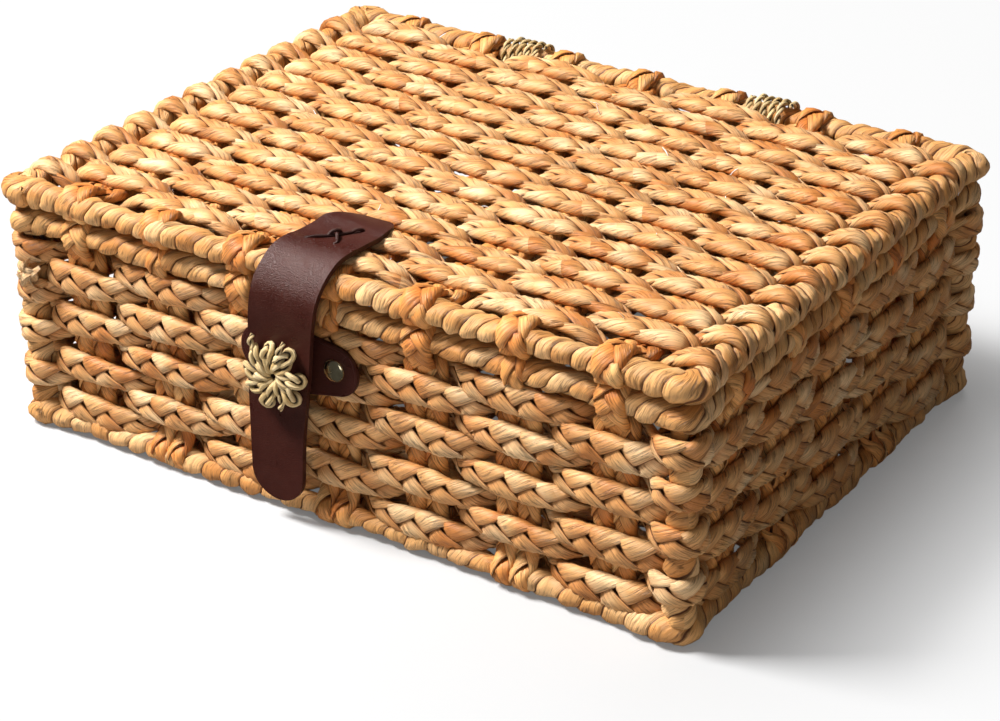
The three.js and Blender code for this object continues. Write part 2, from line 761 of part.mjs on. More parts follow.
// Rivets: a domed brass cap, a shank through tab and braid, and a clenched end behind
function rivet(backY) {
  const headRadius = rivetHeadDiameter / 2;
  const shankRadius = rivetShankDiameter / 2;
  const grip = backY - tabFace + 2 * seatGap;
  const domeRise = rivetHeadHeight - rivetRimHeight;
  const profile = [
    new THREE.Vector2(0, -grip - rivetClenchHeight),
    new THREE.Vector2(rivetClenchDiameter / 2, -grip - rivetClenchHeight),
    new THREE.Vector2(rivetClenchDiameter / 2, -grip),
    new THREE.Vector2(shankRadius, -grip),
    new THREE.Vector2(shankRadius, 0),
    new THREE.Vector2(headRadius, 0),
    new THREE.Vector2(headRadius, rivetRimHeight),
    new THREE.Vector2(headRadius * Math.SQRT1_2, rivetRimHeight + domeRise * Math.SQRT1_2),
    new THREE.Vector2(0, rivetHeadHeight),
  ];
  const turned = new THREE.LatheGeometry(profile, rivetSegments);
  return turned.rotateX(Math.PI).translate(0, tabFace - seatGap, tabHeight);
}

// Inner face of the wall weave behind each rivet
const rowBehindTab = Math.floor((tabHeight - rowsLow) / wallRowPitch);
function weaveBack(x) {
  const path = wallRowPath(rowBehindTab).slice(0, 2 * frontStakeCount);
  const next = path.findIndex((point) => point.x > x + rivetClenchDiameter / 2);
  const [a, b] = [path[next - 1], path[next]];
  const at = (x + rivetClenchDiameter / 2 - a.x) / (b.x - a.x);
  const slope = b.clone().sub(a);
  const thickness = halfBraid * slope.length() / slope.x;
  return a.y + slope.y * THREE.MathUtils.clamp(at, 0, 1) + thickness + seatGap;
}
['left', 'right'].forEach((name, i) => {
  const backY = weaveBack(rivetPlaces[i]) - seatGap;
  add(`tab_rivet_${name}`, rivet(backY).translate(rivetPlaces[i], 0, 0), brassFinish);
});

// Magnets: a plate on the tab and a cap sewn behind the strap, face to face
function magnet() {
  const radius = magnetDiameter / 2;
  const profile = [
    new THREE.Vector2(0, 0),
    new THREE.Vector2(radius - magnetChamfer, 0),
    new THREE.Vector2(radius, magnetChamfer),
    new THREE.Vector2(radius, magnetThickness - magnetChamfer),
    new THREE.Vector2(radius - magnetChamfer, magnetThickness),
    new THREE.Vector2(0, magnetThickness),
  ];
  return new THREE.LatheGeometry(profile, magnetSegments);
}
const magnetX = strapDrift(tabHeight);
add('magnet_plate', magnet().translate(magnetX, plateBack - magnetThickness, tabHeight), steelFinish);
add('magnet_cap', magnet().translate(magnetX, capBack - magnetThickness, tabHeight), steelFinish);

// Flower knot: one cord laid in petal loops round an open middle
function flowerPath() {
  const points = [];
  const half = Math.PI / flowerPetals / 2;
  const y = strapInnerY - strapThickness - seatGap - flowerCordDiameter / 2;
  const place = (radius, angle) => new THREE.Vector3(
    flowerCentre + radius * Math.sin(angle), y, flowerHeight + radius * Math.cos(angle),
  );
  const bend = (angle, radius, outward, steps) => {
    const centre = place(radius * Math.cos(half), angle);
    const size = radius * Math.sin(half);
    for (let i = 0; i <= steps; i += 1) {
      const turn = (i / steps - 0.5) * Math.PI;
      const along = outward * Math.cos(turn) * size;
      const across = Math.sin(turn) * size;
      points.push(new THREE.Vector3(
        centre.x + along * Math.sin(angle) + across * Math.cos(angle),
        y,
        centre.z + along * Math.cos(angle) - across * Math.sin(angle),
      ));
    }
  };
  points.push(place(flowerInnerRadius, -half));
  for (let petal = 0; petal < flowerPetals; petal += 1) {
    const angle = (petal / flowerPetals) * 2 * Math.PI;
    bend(angle, flowerTipRadius, 1, flowerTipSteps);
    const last = petal === flowerPetals - 1;
    if (!last) bend(angle + 2 * half, flowerInnerRadius, -1, flowerInnerSteps);
    if (last) points.push(place(flowerInnerRadius, angle + half));
  }
  return points;
}
const flower = flowerPath();
const flowerUp = new THREE.Vector3(0, 1, 0);
add('flower_knot', tube(flower, flowerCordDiameter / 2, flowerCordSides, flowerUp, false),
  cordFinish);
const flowerGap = leastSelfGap(flower, flowerCordDiameter).toFixed(2);
console.log(`flower_knot: least gap to itself ${flowerGap} mm`);

export default group;
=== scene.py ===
import math
import random

import bpy
from mathutils import Matrix, Vector


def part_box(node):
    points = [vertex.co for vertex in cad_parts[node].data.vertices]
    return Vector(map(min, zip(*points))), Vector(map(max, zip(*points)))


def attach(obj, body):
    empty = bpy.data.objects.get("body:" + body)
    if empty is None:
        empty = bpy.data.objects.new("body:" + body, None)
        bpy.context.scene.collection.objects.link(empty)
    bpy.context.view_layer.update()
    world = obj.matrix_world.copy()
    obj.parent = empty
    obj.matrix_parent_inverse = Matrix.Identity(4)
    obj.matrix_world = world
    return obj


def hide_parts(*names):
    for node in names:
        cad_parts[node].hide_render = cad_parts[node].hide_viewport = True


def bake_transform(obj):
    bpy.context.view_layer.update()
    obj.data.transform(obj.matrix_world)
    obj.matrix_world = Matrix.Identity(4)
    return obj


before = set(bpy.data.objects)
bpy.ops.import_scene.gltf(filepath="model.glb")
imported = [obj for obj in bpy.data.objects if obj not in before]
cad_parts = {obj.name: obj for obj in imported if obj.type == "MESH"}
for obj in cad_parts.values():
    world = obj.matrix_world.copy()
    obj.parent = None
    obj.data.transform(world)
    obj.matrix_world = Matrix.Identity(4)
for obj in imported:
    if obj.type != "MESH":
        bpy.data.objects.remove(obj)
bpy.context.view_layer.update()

mm = 0.001

# Studio: one pale floor without a horizon and an even white world. A soft lamp stands high on
# the left, a weak one at the right front and a weak one behind. For the camera the floor also
# glows, least round the box. The camera stands where the photograph was taken from.
bpy.ops.object.select_all(action="DESELECT")
bpy.ops.mesh.primitive_plane_add(size=14)
floor = bpy.context.object
floor.name = "studio_floor"
floor.visible_glossy = False


def new_material(name):
    """An empty node material, and a short way to add and join its nodes. An input takes a
    value, a socket or a node, which stands for the first of its outputs in use."""
    material = bpy.data.materials.new(name)
    material.use_nodes = True
    tree = material.node_tree
    tree.nodes.clear()

    def node(kind, inputs=(), **settings):
        made = tree.nodes.new("ShaderNode" + kind)
        for key, value in settings.items():
            setattr(made, key, value)
        for key, value in dict(inputs).items():
            if isinstance(value, bpy.types.Node):
                value = next(socket for socket in value.outputs if socket.enabled)
            if isinstance(value, bpy.types.NodeSocket):
                tree.links.new(value, made.inputs[key])
            else:
                made.inputs[key].default_value = value
        return made

    return material, node


def remap(node, value, start, end, to_start, to_end, **settings):
    """Brings a value from one range into another and holds it there."""
    return node("MapRange", {0: value, 1: start, 2: end, 3: to_start, 4: to_end}, **settings)


floor_white, floor_glow, floor_lift = 0.45, 0.80, 0.13
dim_x, dim_y, dim_reach = 0.185, 0.14, 0.16
paper, node = new_material("studio_paper")
lit = node("BsdfDiffuse", {"Color": (floor_white, floor_white, floor_white, 1)})
glow = node("Emission", {"Color": (1, 1, 1, 1), "Strength": 1.0})
ray = node("LightPath")
ground = node("TexCoord")
flat = node("VectorMath", {0: ground.outputs["Object"]}, operation="ABSOLUTE")
beyond = node("VectorMath", {0: flat, 1: (dim_x, dim_y, 1)}, operation="SUBTRACT")
clear = node("VectorMath", {0: beyond, 1: (0, 0, 0)}, operation="MAXIMUM")
away = node("VectorMath", {0: clear}, operation="LENGTH")
fade = remap(node, away, 0.0, dim_reach, floor_lift, floor_glow,
             interpolation_type="SMOOTHSTEP")
share = node("Math", {0: ray.outputs["Is Camera Ray"], 1: fade}, operation="MULTIPLY")
mixed = node("MixShader", {0: share, 1: lit, 2: glow})
node("OutputMaterial", {"Surface": mixed})
floor.data.materials.append(paper)

world = bpy.data.worlds.new("studio_world")
bpy.context.scene.world = world
world.use_nodes = True
sky = world.node_tree.nodes["Background"]
sky.inputs["Color"].default_value = (1, 1, 1, 1)
sky_light = 0.06
path_kind = world.node_tree.nodes.new("ShaderNodeLightPath")
strength = world.node_tree.nodes.new("ShaderNodeMapRange")
strength.inputs["To Min"].default_value = sky_light
strength.inputs["To Max"].default_value = 1.0
world.node_tree.links.new(path_kind.outputs["Is Camera Ray"], strength.inputs["Value"])
world.node_tree.links.new(strength.outputs["Result"], sky.inputs["Strength"])

lamp_aim = Vector((0, 0, 0.06))
for name, place, size, power in (
    ("lamp_key", (-1.25, -0.71, 1.95), 0.7, 153),
    ("lamp_fill", (1.3, -1.8, 0.9), 1.2, 7),
    ("lamp_back", (-0.4, 1.6, 1.7), 1.2, 14),
):
    bpy.ops.object.light_add(type="AREA", location=place)
    lamp = bpy.context.object
    lamp.name = name
    lamp.data.size = size
    lamp.data.energy = power
    lamp.rotation_euler = (lamp_aim - Vector(place)).to_track_quat("-Z", "Y").to_euler()
    lamp.visible_glossy = name != "lamp_back"

camera_place = Vector((0.673516, -1.023504, 0.672156))
camera_target = Vector((0.045412, -0.071404, 0.070932))
bpy.ops.object.camera_add(location=camera_place)
camera = bpy.context.object
camera.rotation_euler = (camera_target - camera_place).to_track_quat("-Z", "Y").to_euler()
camera.data.sensor_width = 36
camera.data.lens = 93.23
bpy.context.scene.camera = camera
bpy.context.scene.view_settings.view_transform = "Standard"

# Wall braids: eight rings of three-strand plait in dry water-hyacinth leaf. Each passes
# outside one stake and inside the next, so it bulges and dives; odd rows start outside. A few
# stray fibres stand off each row.
row_width, row_thickness, row_period = 14.6 * mm, 6.8 * mm, 52 * mm
leaf_scale = 50 * mm


def select(*pieces):
    """Selects these pieces alone and makes the first one active."""
    bpy.ops.object.select_all(action="DESELECT")
    for piece in pieces:
        piece.select_set(True)
    bpy.context.view_layer.objects.active = pieces[0]


def edit(piece, *steps):
    """Runs edit-mode operators on the whole of a piece."""
    select(piece)
    bpy.ops.object.mode_set(mode="EDIT")
    bpy.ops.mesh.select_all(action="SELECT")
    for step in steps:
        step()
    bpy.ops.object.mode_set(mode="OBJECT")


def weld(distance=0.01 * mm):
    bpy.ops.mesh.remove_doubles(threshold=distance)


def face_out():
    bpy.ops.mesh.normals_make_consistent(inside=False)


def join(pieces, name):
    select(*pieces)
    bpy.ops.object.join()
    pieces[0].name = name
    return pieces[0]


def leaf_grid(steps, sides):
    """A flat grid to curl into leaf. Its material paints shade from how deep each point lies
    in the weave and from how near it is to the edge of its strand."""
    bpy.ops.mesh.primitive_grid_add(x_subdivisions=steps, y_subdivisions=sides, size=1)
    leaf = bpy.context.object
    leaf.data.uv_layers[0].name = "leaf_run"
    depth = leaf.data.attributes.new("leaf_depth", "FLOAT", "POINT")
    rim = leaf.data.attributes.new("leaf_edge", "FLOAT", "POINT")
    return leaf, depth, rim


def three_strand_plait(name, period, width, thickness, steps, sides):
    """One period of a flat plait along X, its width up Z and its thickness along Y.

    Each strand comes out of the core, lies flush on one face, folds over the edge and goes
    back to the core on the other face, then does the same over the opposite edge. Its
    trailing edge stands a little proud, so that it laps over the strand that follows."""
    half_leaf, proud = 0.055 * width, 0.034 * width
    lap_share, core, dive, bluntness, leaf_share = 0.41, 0.25, 0.8, 0.5, 0.4
    reach = thickness / 2 - half_leaf
    flat = width / 2 - half_leaf - reach
    lap = 2 * flat + math.pi * reach
    slant = math.atan2(lap, period / 2)
    half_width = lap_share * lap * math.cos(slant)
    strands = []
    for strand in range(3):
        leaf, depth, rim = leaf_grid(steps, sides)
        for vertex in leaf.data.vertices:
            along, turn = vertex.co.x + 0.5, math.tau * (vertex.co.y + 0.5)
            phase = 2 * ((along + strand / 3) % 1)
            side = 1 if phase < 1 else -1
            phase %= 1
            lead = half_width * math.cos(turn)
            run = lap * phase + lead * math.cos(slant)
            angle = min(math.pi, max(0, (run - flat) / reach))
            face = Vector((0, -math.cos(angle), math.sin(angle)))
            spot = reach * face
            spot.z += run if run < flat else flat if angle < math.pi else lap - run
            in_core = min(phase, 1 - phase)
            if in_core < core:
                spot.y *= math.sin(math.tau * in_core) ** dive
            blunt = math.copysign(abs(math.sin(turn)) ** bluntness, math.sin(turn))
            spot += face * (side * half_leaf * blunt - proud * math.cos(turn))
            vertex.co = (along * period - lead * math.sin(slant), spot.y, side * spot.z)
            # The leaf's material paints shade from these: darker towards the plait's core and
            # along each strand's edge.
            across_share, out_share = spot.z / (width / 2), spot.y / (thickness / 2)
            depth.data[vertex.index].value = 1 - min(1, math.hypot(across_share, out_share))
            rim.data[vertex.index].value = abs(math.cos(turn))
        for corner in leaf.data.uv_layers[0].data:
            corner.uv.x *= period / leaf_scale
            corner.uv.y = strand + corner.uv.y * leaf_share
        strands.append(leaf)
    plait = join(strands, name)
    edit(plait, weld, face_out)
    plait["period"], plait["leaf_per_period"] = period, period / leaf_scale
    return plait


def path_through(points, widths, closed=False):
    """A smooth curve through points, flat in XY unless they rise, and its width shares."""
    bpy.ops.curve.primitive_bezier_curve_add()
    path = bpy.context.object
    path.data.dimensions = "2D" if len(points[0]) == 2 else "3D"
    path.data.twist_mode = "MINIMUM"
    path.data.resolution_u = 16
    spline = path.data.splines[0]
    spline.radius_interpolation = "EASE"
    spline.bezier_points.add(len(points) - 2)
    spline.use_cyclic_u = closed
    for knot, point, width in zip(spline.bezier_points, points, widths):
        knot.co = (*point, 0)[:3]
        knot.handle_left_type = knot.handle_right_type = "AUTO"
        knot.radius = width
    return path


def points_and_widths(course):
    """Parts a course into its points and their width shares, the last number of each."""
    return [knot[:-1] for knot in course], [knot[-1] for knot in course]


table_gap, pinch_depth = 0.3 * mm, 0.6 * mm
wobble = bpy.data.textures.new("hand_wobble", "CLOUDS")
wobble.noise_scale = 34 * mm
wobble.cloud_type = "COLOR"
uneven_hand = bpy.data.textures.new("uneven_hand", "CLOUDS")
uneven_hand.noise_scale = 12 * mm
uneven_hand.cloud_type = "COLOR"
pinch = bpy.data.textures.new("leaf_pinch", "CLOUDS")
pinch.noise_scale = 7 * mm


def lay_along(unit, name, points, widths=None, closed=False, lift=0.0, turn=None,
              wander=2.2 * mm, shift=0.0, offset=0.0, loose=0.0):
    """Repeats a unit along a path, turns it into place and makes it a little uneven."""
    path = path_through(points, widths or [1] * len(points), closed)
    length = path.data.splines[0].calc_length()
    select(unit)
    bpy.ops.object.duplicate(linked=False)
    piece = bpy.context.object
    piece.name = piece.data.name = name
    period = unit["period"]
    count = max(1, round(length / period))
    fit = length / count / period
    piece.data.transform(Matrix.Diagonal((fit, 1, 1, 1)))
    piece.data.transform(Matrix.Translation((0, 0, offset)))
    for corner in piece.data.uv_layers[0].data:
        corner.uv.x += shift
    run = piece.modifiers.new("run", "ARRAY")
    run.use_relative_offset = False
    run.use_constant_offset = True
    run.constant_offset_displace = (period * fit, 0, 0)
    run.count = count
    run.offset_u = unit["leaf_per_period"]
    run.offset_v = unit.get("leaf_step", 0.0)
    bend = piece.modifiers.new("bend", "CURVE")
    bend.object = path
    bpy.ops.object.modifier_apply(modifier="run")
    bpy.ops.object.modifier_apply(modifier="bend")
    bpy.data.objects.remove(path)
    edit(piece, lambda: weld(0.02 * mm), lambda: bpy.ops.mesh.select_all(action="DESELECT"),
         bpy.ops.mesh.select_non_manifold, lambda: bpy.ops.mesh.fill_holes(sides=0))
    piece.data.transform(Matrix.Translation((0, 0, lift)))
    if turn:
        piece.data.transform(turn)
    for label, texture, strength, direction in (
        ("wander", wobble, wander, "RGB_TO_XYZ"), ("pinch", pinch, pinch_depth, "NORMAL"),
        ("loose", uneven_hand, loose, "RGB_TO_XYZ"),
    ):
        if strength == 0:
            continue
        uneven = piece.modifiers.new(label, "DISPLACE")
        uneven.texture = texture
        uneven.texture_coords = "LOCAL"
        uneven.strength = strength
        uneven.direction = direction
        bpy.ops.object.modifier_apply(modifier=label)
    for vertex in piece.data.vertices:
        vertex.co.z = max(vertex.co.z, table_gap)
    select(piece)
    bpy.ops.object.shade_smooth()
    return piece


row_plait = three_strand_plait("row_plait", row_period, row_width, row_thickness,
                               steps=20, sides=12)


def noise(node, scale, detail, vector=None, roughness=0.5):
    """Noise over the piece, or over the vector that is given."""
    vector = vector or node("TexCoord").outputs["Object"]
    return node("TexNoise", {"Vector": vector, "Scale": scale, "Detail": detail,
                             "Roughness": roughness})


def mix_colour(node, share, first, second, how="MIX"):
    return node("Mix", {0: share, 6: first, 7: second}, data_type="RGBA", blend_type=how)


def dry_leaf(name, pale, golden, russet, shadow):
    """Dry leaf: fine fibres along each strand, strands and patches of differing tone, and
    painted shade: russet where a strand dips under its neighbour, the shadow colour deep in
    the weave and a thin line of it along the edges of strands."""
    material, node = new_material(name)
    uv = node("UVMap", uv_map="leaf_run")

    def along_leaf(along, across, detail, roughness=0.5):
        """Noise drawn out along the leaf, by how often it changes along and across it."""
        drawn = node("VectorMath", {0: uv, 1: (along, across, 1.0)}, operation="MULTIPLY")
        return noise(node, 1.0, detail, drawn, roughness)

    split = node("SeparateXYZ", {0: uv})
    strand = node("Math", {0: split.outputs["Y"]}, operation="FLOOR")
    own = node("CombineXYZ", {0: split.outputs["X"], 1: strand})
    tone = noise(node, 2.1, 1.0, own)
    fibre = along_leaf(3.5, 110.0, 4.0, 0.65)
    crease = along_leaf(1.6, 16.0, 2.0)
    line_width, line_tone = 0.022, 0.42
    off_line = node("Math", {0: along_leaf(1.7, 54.0, 3.0), 1: 0.5}, operation="SUBTRACT")
    near = node("Math", {0: off_line}, operation="ABSOLUTE")
    hairline = remap(node, near, 0.0, line_width, line_tone, 1.0)
    ramp = node("ValToRGB", {0: tone})
    start, end = ramp.color_ramp.elements
    start.position, start.color = 0.36, pale
    end.position, end.color = 0.66, russet
    ramp.color_ramp.elements.new(0.5).color = golden
    stain = remap(node, noise(node, 42.0, 2.0), 0.50, 0.72, 0.0, 0.55)
    colour = mix_colour(node, stain, ramp, russet)
    streak = remap(node, fibre, 0.30, 0.70, 0.72, 1.12)
    rut = remap(node, crease, 0.30, 0.62, 0.80, 1.06)
    for tint in (streak, rut, hairline):
        colour = mix_colour(node, 1.0, colour, tint, "MULTIPLY")
    depth = node("Attribute", attribute_name="leaf_depth").outputs["Fac"]
    rim = node("Attribute", attribute_name="leaf_edge").outputs["Fac"]
    # Painted shade from the leaf's depth in the weave and its nearness to a strand's edge:
    # russet a little way in, the shadow colour deeper in and in a thin line along each edge.
    dip_shade = remap(node, depth, 0.05, 0.40, 0.0, 0.55)
    deep = remap(node, depth, 0.40, 0.72, 0.0, 1.0)
    edge_shade = remap(node, rim, 0.93, 0.985, 0.0, 0.92)
    for share, darker in ((dip_shade, russet), (deep, shadow), (edge_shade, shadow)):
        colour = mix_colour(node, share, colour, darker)
    crease_height, line_height = 1.6, 0.9
    ridge = node("Math", {0: crease, 1: crease_height, 2: fibre}, operation="MULTIPLY_ADD")
    height = node("Math", {0: hairline, 1: line_height, 2: ridge}, operation="MULTIPLY_ADD")
    bump = node("Bump", {"Strength": 0.9, "Distance": 0.6 * mm, "Height": height})
    rough = remap(node, fibre, 0.3, 0.7, 0.58, 0.42)
    skin = node("BsdfPrincipled", {"Base Color": colour, "Roughness": rough, "Normal": bump,
                                   "Specular IOR Level": 0.40})
    node("OutputMaterial", {"Surface": skin})
    return material


braid_leaf = dry_leaf("braid_leaf", (0.82, 0.53, 0.265, 1), (0.71, 0.37, 0.135, 1),
                      (0.55, 0.20, 0.046, 1), (0.10, 0.026, 0.006, 1))

low, high = {}, {}
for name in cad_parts:
    low[name], high[name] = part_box(name)


def middle(name, axis):
    return (low[name][axis] + high[name][axis]) / 2


stake_x = [middle(f"lid_stake_{i}", 0) for i in range(1, 8)]
stake_y = [middle(f"side_stake_{i}", 1) for i in range(1, 6)]
half_stake = 2.65 * mm
wall_x = high["side_stake_3"].x - half_stake
wall_y = high["cross_stake_4"].y - half_stake
post_x, post_y = middle("corner_wrap_2", 0), middle("corner_wrap_2", 1)
row_out, row_in = 5.9 * mm, 6.4 * mm
swell, squeeze = 1.14, 0.54
corner_out, corner_in = 14.0 * mm, 4.0 * mm
row_low, row_pitch = 18.6 * mm, 12.2 * mm
row_stray = (-1.0, 0.8, -1.2, 2.0, 0.8, 1.2, 0.4, -1.0)
row_z = [row_low + row_pitch * row + stray * mm for row, stray in enumerate(row_stray)]
chance = random.Random(7)


def leaf_start():
    """How far along its leaf a piece begins, so that no two look alike."""
    return chance.uniform(0, 40)


def past_stakes(stakes, outside_first, outer, inner):
    """Points past a line of stakes: a long bulge outside one, a short dive inside the next."""
    bulge, end_bulge, dive = 26, 19, 9.5
    bulge_ease, dive_ease, bulge_neck = 0.70, 0.84, 0.80
    course = []
    for i, place in enumerate(stakes):
        outside = (i % 2 == 0) == outside_first
        level = (outer if outside else -inner) + chance.uniform(-0.4, 0.4) * mm
        share = (swell if outside else squeeze) * chance.uniform(0.96, 1.05)
        for step in (-1, 0, 1):
            at_end = i + step in (-1, len(stakes))
            reach = (end_bulge if at_end else bulge) if outside else dive
            ease = 1.0 if step == 0 else bulge_ease if outside else dive_ease
            thin = bulge_neck if outside and step != 0 and not at_end else 1.0
            course.append((place + step * reach * mm, level * ease, share * thin))
    return course


def wall_row_course(row):
    """Round the four walls: out and in at the stakes, and past each corner post."""
    outside_first = row % 2 == 0
    inner_share, turn_in, bow_out = 1.05, 7, 1.2
    long_wall = (wall_y, stake_x, post_x, post_y)
    short_wall = (wall_x, stake_y, post_y, post_x)
    course = []
    for out_x, out_y, (wall, stakes, post_along, post_out) in (
        (0, -1, long_wall), (1, 0, short_wall), (0, 1, long_wall), (-1, 0, short_wall),
    ):
        along = Vector((-out_y, out_x))
        out = Vector((out_x, out_y))
        for place, level, share in past_stakes(stakes, outside_first, row_out, row_in):
            course.append((*(along * place + out * (wall + level)), share))
        corner = along * post_along + out * post_out
        diagonal = (along + out).normalized()
        if outside_first:
            course.append((*(corner - diagonal * corner_in), inner_share))
        else:
            for near, far in ((along, out), (out, along)):
                spot = corner + diagonal * corner_out - near * turn_in * mm + far * bow_out * mm
                course.append((*spot, 1.0))
    return course


def round_cord(name, points, radius, flat=0.0):
    """A thin strand with closed ends along points in mm; with flat it is a strip of leaf."""
    hair, tip_share = 0.5 * mm, 0.6
    cord = path_through([tuple(v * mm for v in point) for point in points],
                        [1] * (len(points) - 1) + [tip_share])
    cord.name = name
    cord.data.bevel_depth = radius
    cord.data.extrude = flat
    cord.data.bevel_resolution = 1 if radius < hair else 3
    cord.data.resolution_u = 6
    cord.data.use_fill_caps = True
    bpy.ops.object.convert(target="MESH")
    cord = bpy.context.object
    (cord.data.uv_layers.active or cord.data.uv_layers.new()).name = "leaf_run"
    bpy.ops.object.shade_smooth()
    return cord


def with_fibres(piece, count):
    """A few stray fibres that stand off a woven piece, as hand-twisted leaf leaves them."""
    lowest_root = 12 * mm
    parts = [piece]
    while len(parts) <= count:
        root = chance.choice(piece.data.vertices)
        if root.co.z < lowest_root:
            continue
        lean = Vector(chance.uniform(-1, 1) for _ in range(3))
        lean = (lean - lean.dot(root.normal) * root.normal).normalized()
        course = []
        for along, out in ((0, -1), (2.5, 1.1), (6, chance.uniform(0.8, 2.4))):
            course.append(tuple((root.co + lean * along * mm + root.normal * out * mm) / mm))
        parts.append(round_cord(f"{piece.name}_fibre", course, chance.uniform(0.16, 0.3) * mm))
    return join(parts, piece.name)


for row in range(8):
    name = f"wall_braid_{row + 1}"
    course = wall_row_course(row)
    start = chance.randrange(len(course))
    points, widths = points_and_widths(course[start:] + course[:start])
    braid = lay_along(row_plait, f"{name}_plait", points, widths, closed=True,
                      lift=row_z[row], shift=leaf_start())
    braid = with_fibres(braid, count=14)
    braid.data.materials.append(braid_leaf)
    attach(braid, "box")
    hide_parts(name)

# Lid braids: twenty-two rows of a plait like that of the walls, in six lengths from front to
# rear, over and under the lid's stakes. A row's end loops over the side rim or tucks under
# it, and a few stray fibres stand off here too.
lid_mid = middle("lid_stake_1", 2)
up_from_plan = Matrix(((1, 0, 0, 0), (0, 0, -1, 0), (0, 1, 0, 0), (0, 0, 0, 1)))
lid_out, lid_in = 5.6 * mm, 6.2 * mm
lid_plait = three_strand_plait("lid_plait", 63 * mm, row_width, row_thickness,
                               steps=26, sides=12)
lid_row_count, rows_per_length, lid_spare = 22, 4, 0.2 * mm
lid_front = low["lid_braid_1"].y
lid_rear = high["lid_braid_6"].y
lid_pitch = (lid_rear - lid_front + 2 * lid_spare) / lid_row_count
lid_row_y = [lid_front + lid_pitch * (row + 0.5) - lid_spare for row in range(lid_row_count)]
# Row ends: x and z in mm, and the share of the width there.
over_rim = ((180, 3.5, 0.9), (187, 7.2, 0.88), (193.5, 8.6, 0.85), (199.6, 5.2, 0.8),
            (201, -1, 0.75), (197.5, -6.2, 0.7))
under_rim = ((181, -2.2, 0.85), (186.5, -4.6, 0.75))
lid_rows = []
for row in range(lid_row_count):
    is_over = row % 2 == 0
    ends = over_rim if is_over else under_rim
    course = [(-x * mm, z * mm, share) for x, z, share in reversed(ends)]
    course += past_stakes(stake_x, not is_over, lid_out, lid_in)
    course += [(x * mm, z * mm, share) for x, z, share in ends]
    strip = lay_along(lid_plait, f"lid_row_{row + 1}", *points_and_widths(course),
                      lift=-lid_row_y[row], shift=leaf_start(),
                      turn=Matrix.Translation((0, 0, lid_mid)) @ up_from_plan)
    strip.data.materials.append(braid_leaf)
    lid_rows.append(strip)
for number in range(6):
    rows = lid_rows[rows_per_length * number:rows_per_length * (number + 1)]
    braid = with_fibres(join(rows, f"lid_braid_{number + 1}_plait"), count=16)
    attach(braid, "lid")
    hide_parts(f"lid_braid_{number + 1}")

# Stakes: pairs of narrower plaits. Those of the body run down one wall, under the base and up
# the other. A stake sinks under each row that crosses outside it and swells between. Its ends
# are one wide loop over each rim.
stake_width, stake_thickness, stake_period = 12.2 * mm, 5.8 * mm, 43 * mm
stake_plait = three_strand_plait("stake_plait", stake_period, stake_width, stake_thickness,
                                 steps=20, sides=10)
loop_plait = three_strand_plait("loop_plait", 36 * mm, 17 * mm, 5.4 * mm, steps=18, sides=10)
# The stakes' leaf is a warmer, deeper-toned copy of the braid leaf: painted shade for the shade
# and bounced light between the rows.
shaded_stake_leaf = dry_leaf("shaded_stake_leaf", (0.86, 0.47, 0.17, 1), (0.74, 0.31, 0.078, 1),
                      (0.60, 0.18, 0.030, 1), (0.11, 0.027, 0.006, 1))
side_from_plan = Matrix(((0, 0, 1, 0), (1, 0, 0, 0), (0, 1, 0, 0), (0, 0, 0, 1)))
base_z = 8.35 * mm
sink, pressed, swollen, pair_gap = 1.3 * mm, 0.94, 1.05, 0.48


def body_stake_course(wall, low_rim, odd, base_knots):
    """Down the wall from under the upper rim, under the base and up the other wall. Odd
    stakes also pass under the lower rim."""
    half = [(wall - 5 * mm, 113 * mm, 0.72)]
    for row in reversed(range(8)):
        row_outside = (row % 2 == 0) != odd
        half.append((wall + (-sink if row_outside else sink), row_z[row],
                     pressed if row_outside else swollen))
    if odd:
        half[-1] = (wall + 2.6 * mm, row_z[0] - 2 * mm, 1.0)
        half += [(low_rim + 6.2 * mm, 9.4 * mm, 0.92), (low_rim + 3.2 * mm, 3.4 * mm, 0.84),
                 (low_rim - 5 * mm, 2.8 * mm, 0.8), (low_rim - 17 * mm, 6.6 * mm, 0.9),
                 (low_rim - 26 * mm, base_z, 1.0)]
    else:
        half += [(wall - 3.8 * mm, 11.4 * mm, 0.92), (wall - 13 * mm, base_z, 0.95),
                 (wall - 24 * mm, base_z, 1.0)]
    return [(-x, z, share) for x, z, share in half] + base_knots + half[::-1]


def stake_piece(node, course, loops, place, turn, body):
    """Two plaits side by side along one course and a loop over each rim, as one stake."""
    name = f"{node}_plait"
    parts = []
    for side in (-1, 1):
        parts.append(lay_along(
            stake_plait, f"{name}_{side + 2}", *points_and_widths(course), lift=place,
            turn=turn, offset=side * stake_width * pair_gap, shift=leaf_start(),
            wander=1.2 * mm))
    for number, loop in enumerate(loops):
        parts.append(lay_along(
            loop_plait, f"{name}_loop_{number}", *points_and_widths(loop), turn=turn,
            lift=place + chance.uniform(-0.8, 0.8) * mm, shift=leaf_start(),
            wander=1.6 * mm))
    stake = join(parts, name)
    stake.data.materials.append(shaded_stake_leaf)
    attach(stake, body)
    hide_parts(node)


def body_loops(wall, rim, odd):
    """The loops over the upper rim at both ends: wide at one stake, narrow at the next."""
    scale = 0.72 if odd else 1.0
    side = [(wall - 9.0 * mm, 106 * mm, 0.7), (rim - 8.0 * mm, 115.4 * mm, 0.82),
            (rim - 5.4 * mm, 122.6 * mm, 0.9), (rim, 125.0 * mm, 0.95),
            (rim + 5.6 * mm, 122.8 * mm, 1.0), (rim + 7.7 * mm, 117.4 * mm, 1.0),
            (rim + 5.6 * mm, 111.0 * mm, 0.94), (wall + 3.0 * mm, 104.5 * mm, 0.86),
            (wall + 0.4 * mm, 98.0 * mm, 0.7)]
    if odd:
        side = side[:-1]
    return [[(sign * out, z, share * scale) for out, z, share in side] for sign in (-1, 1)]


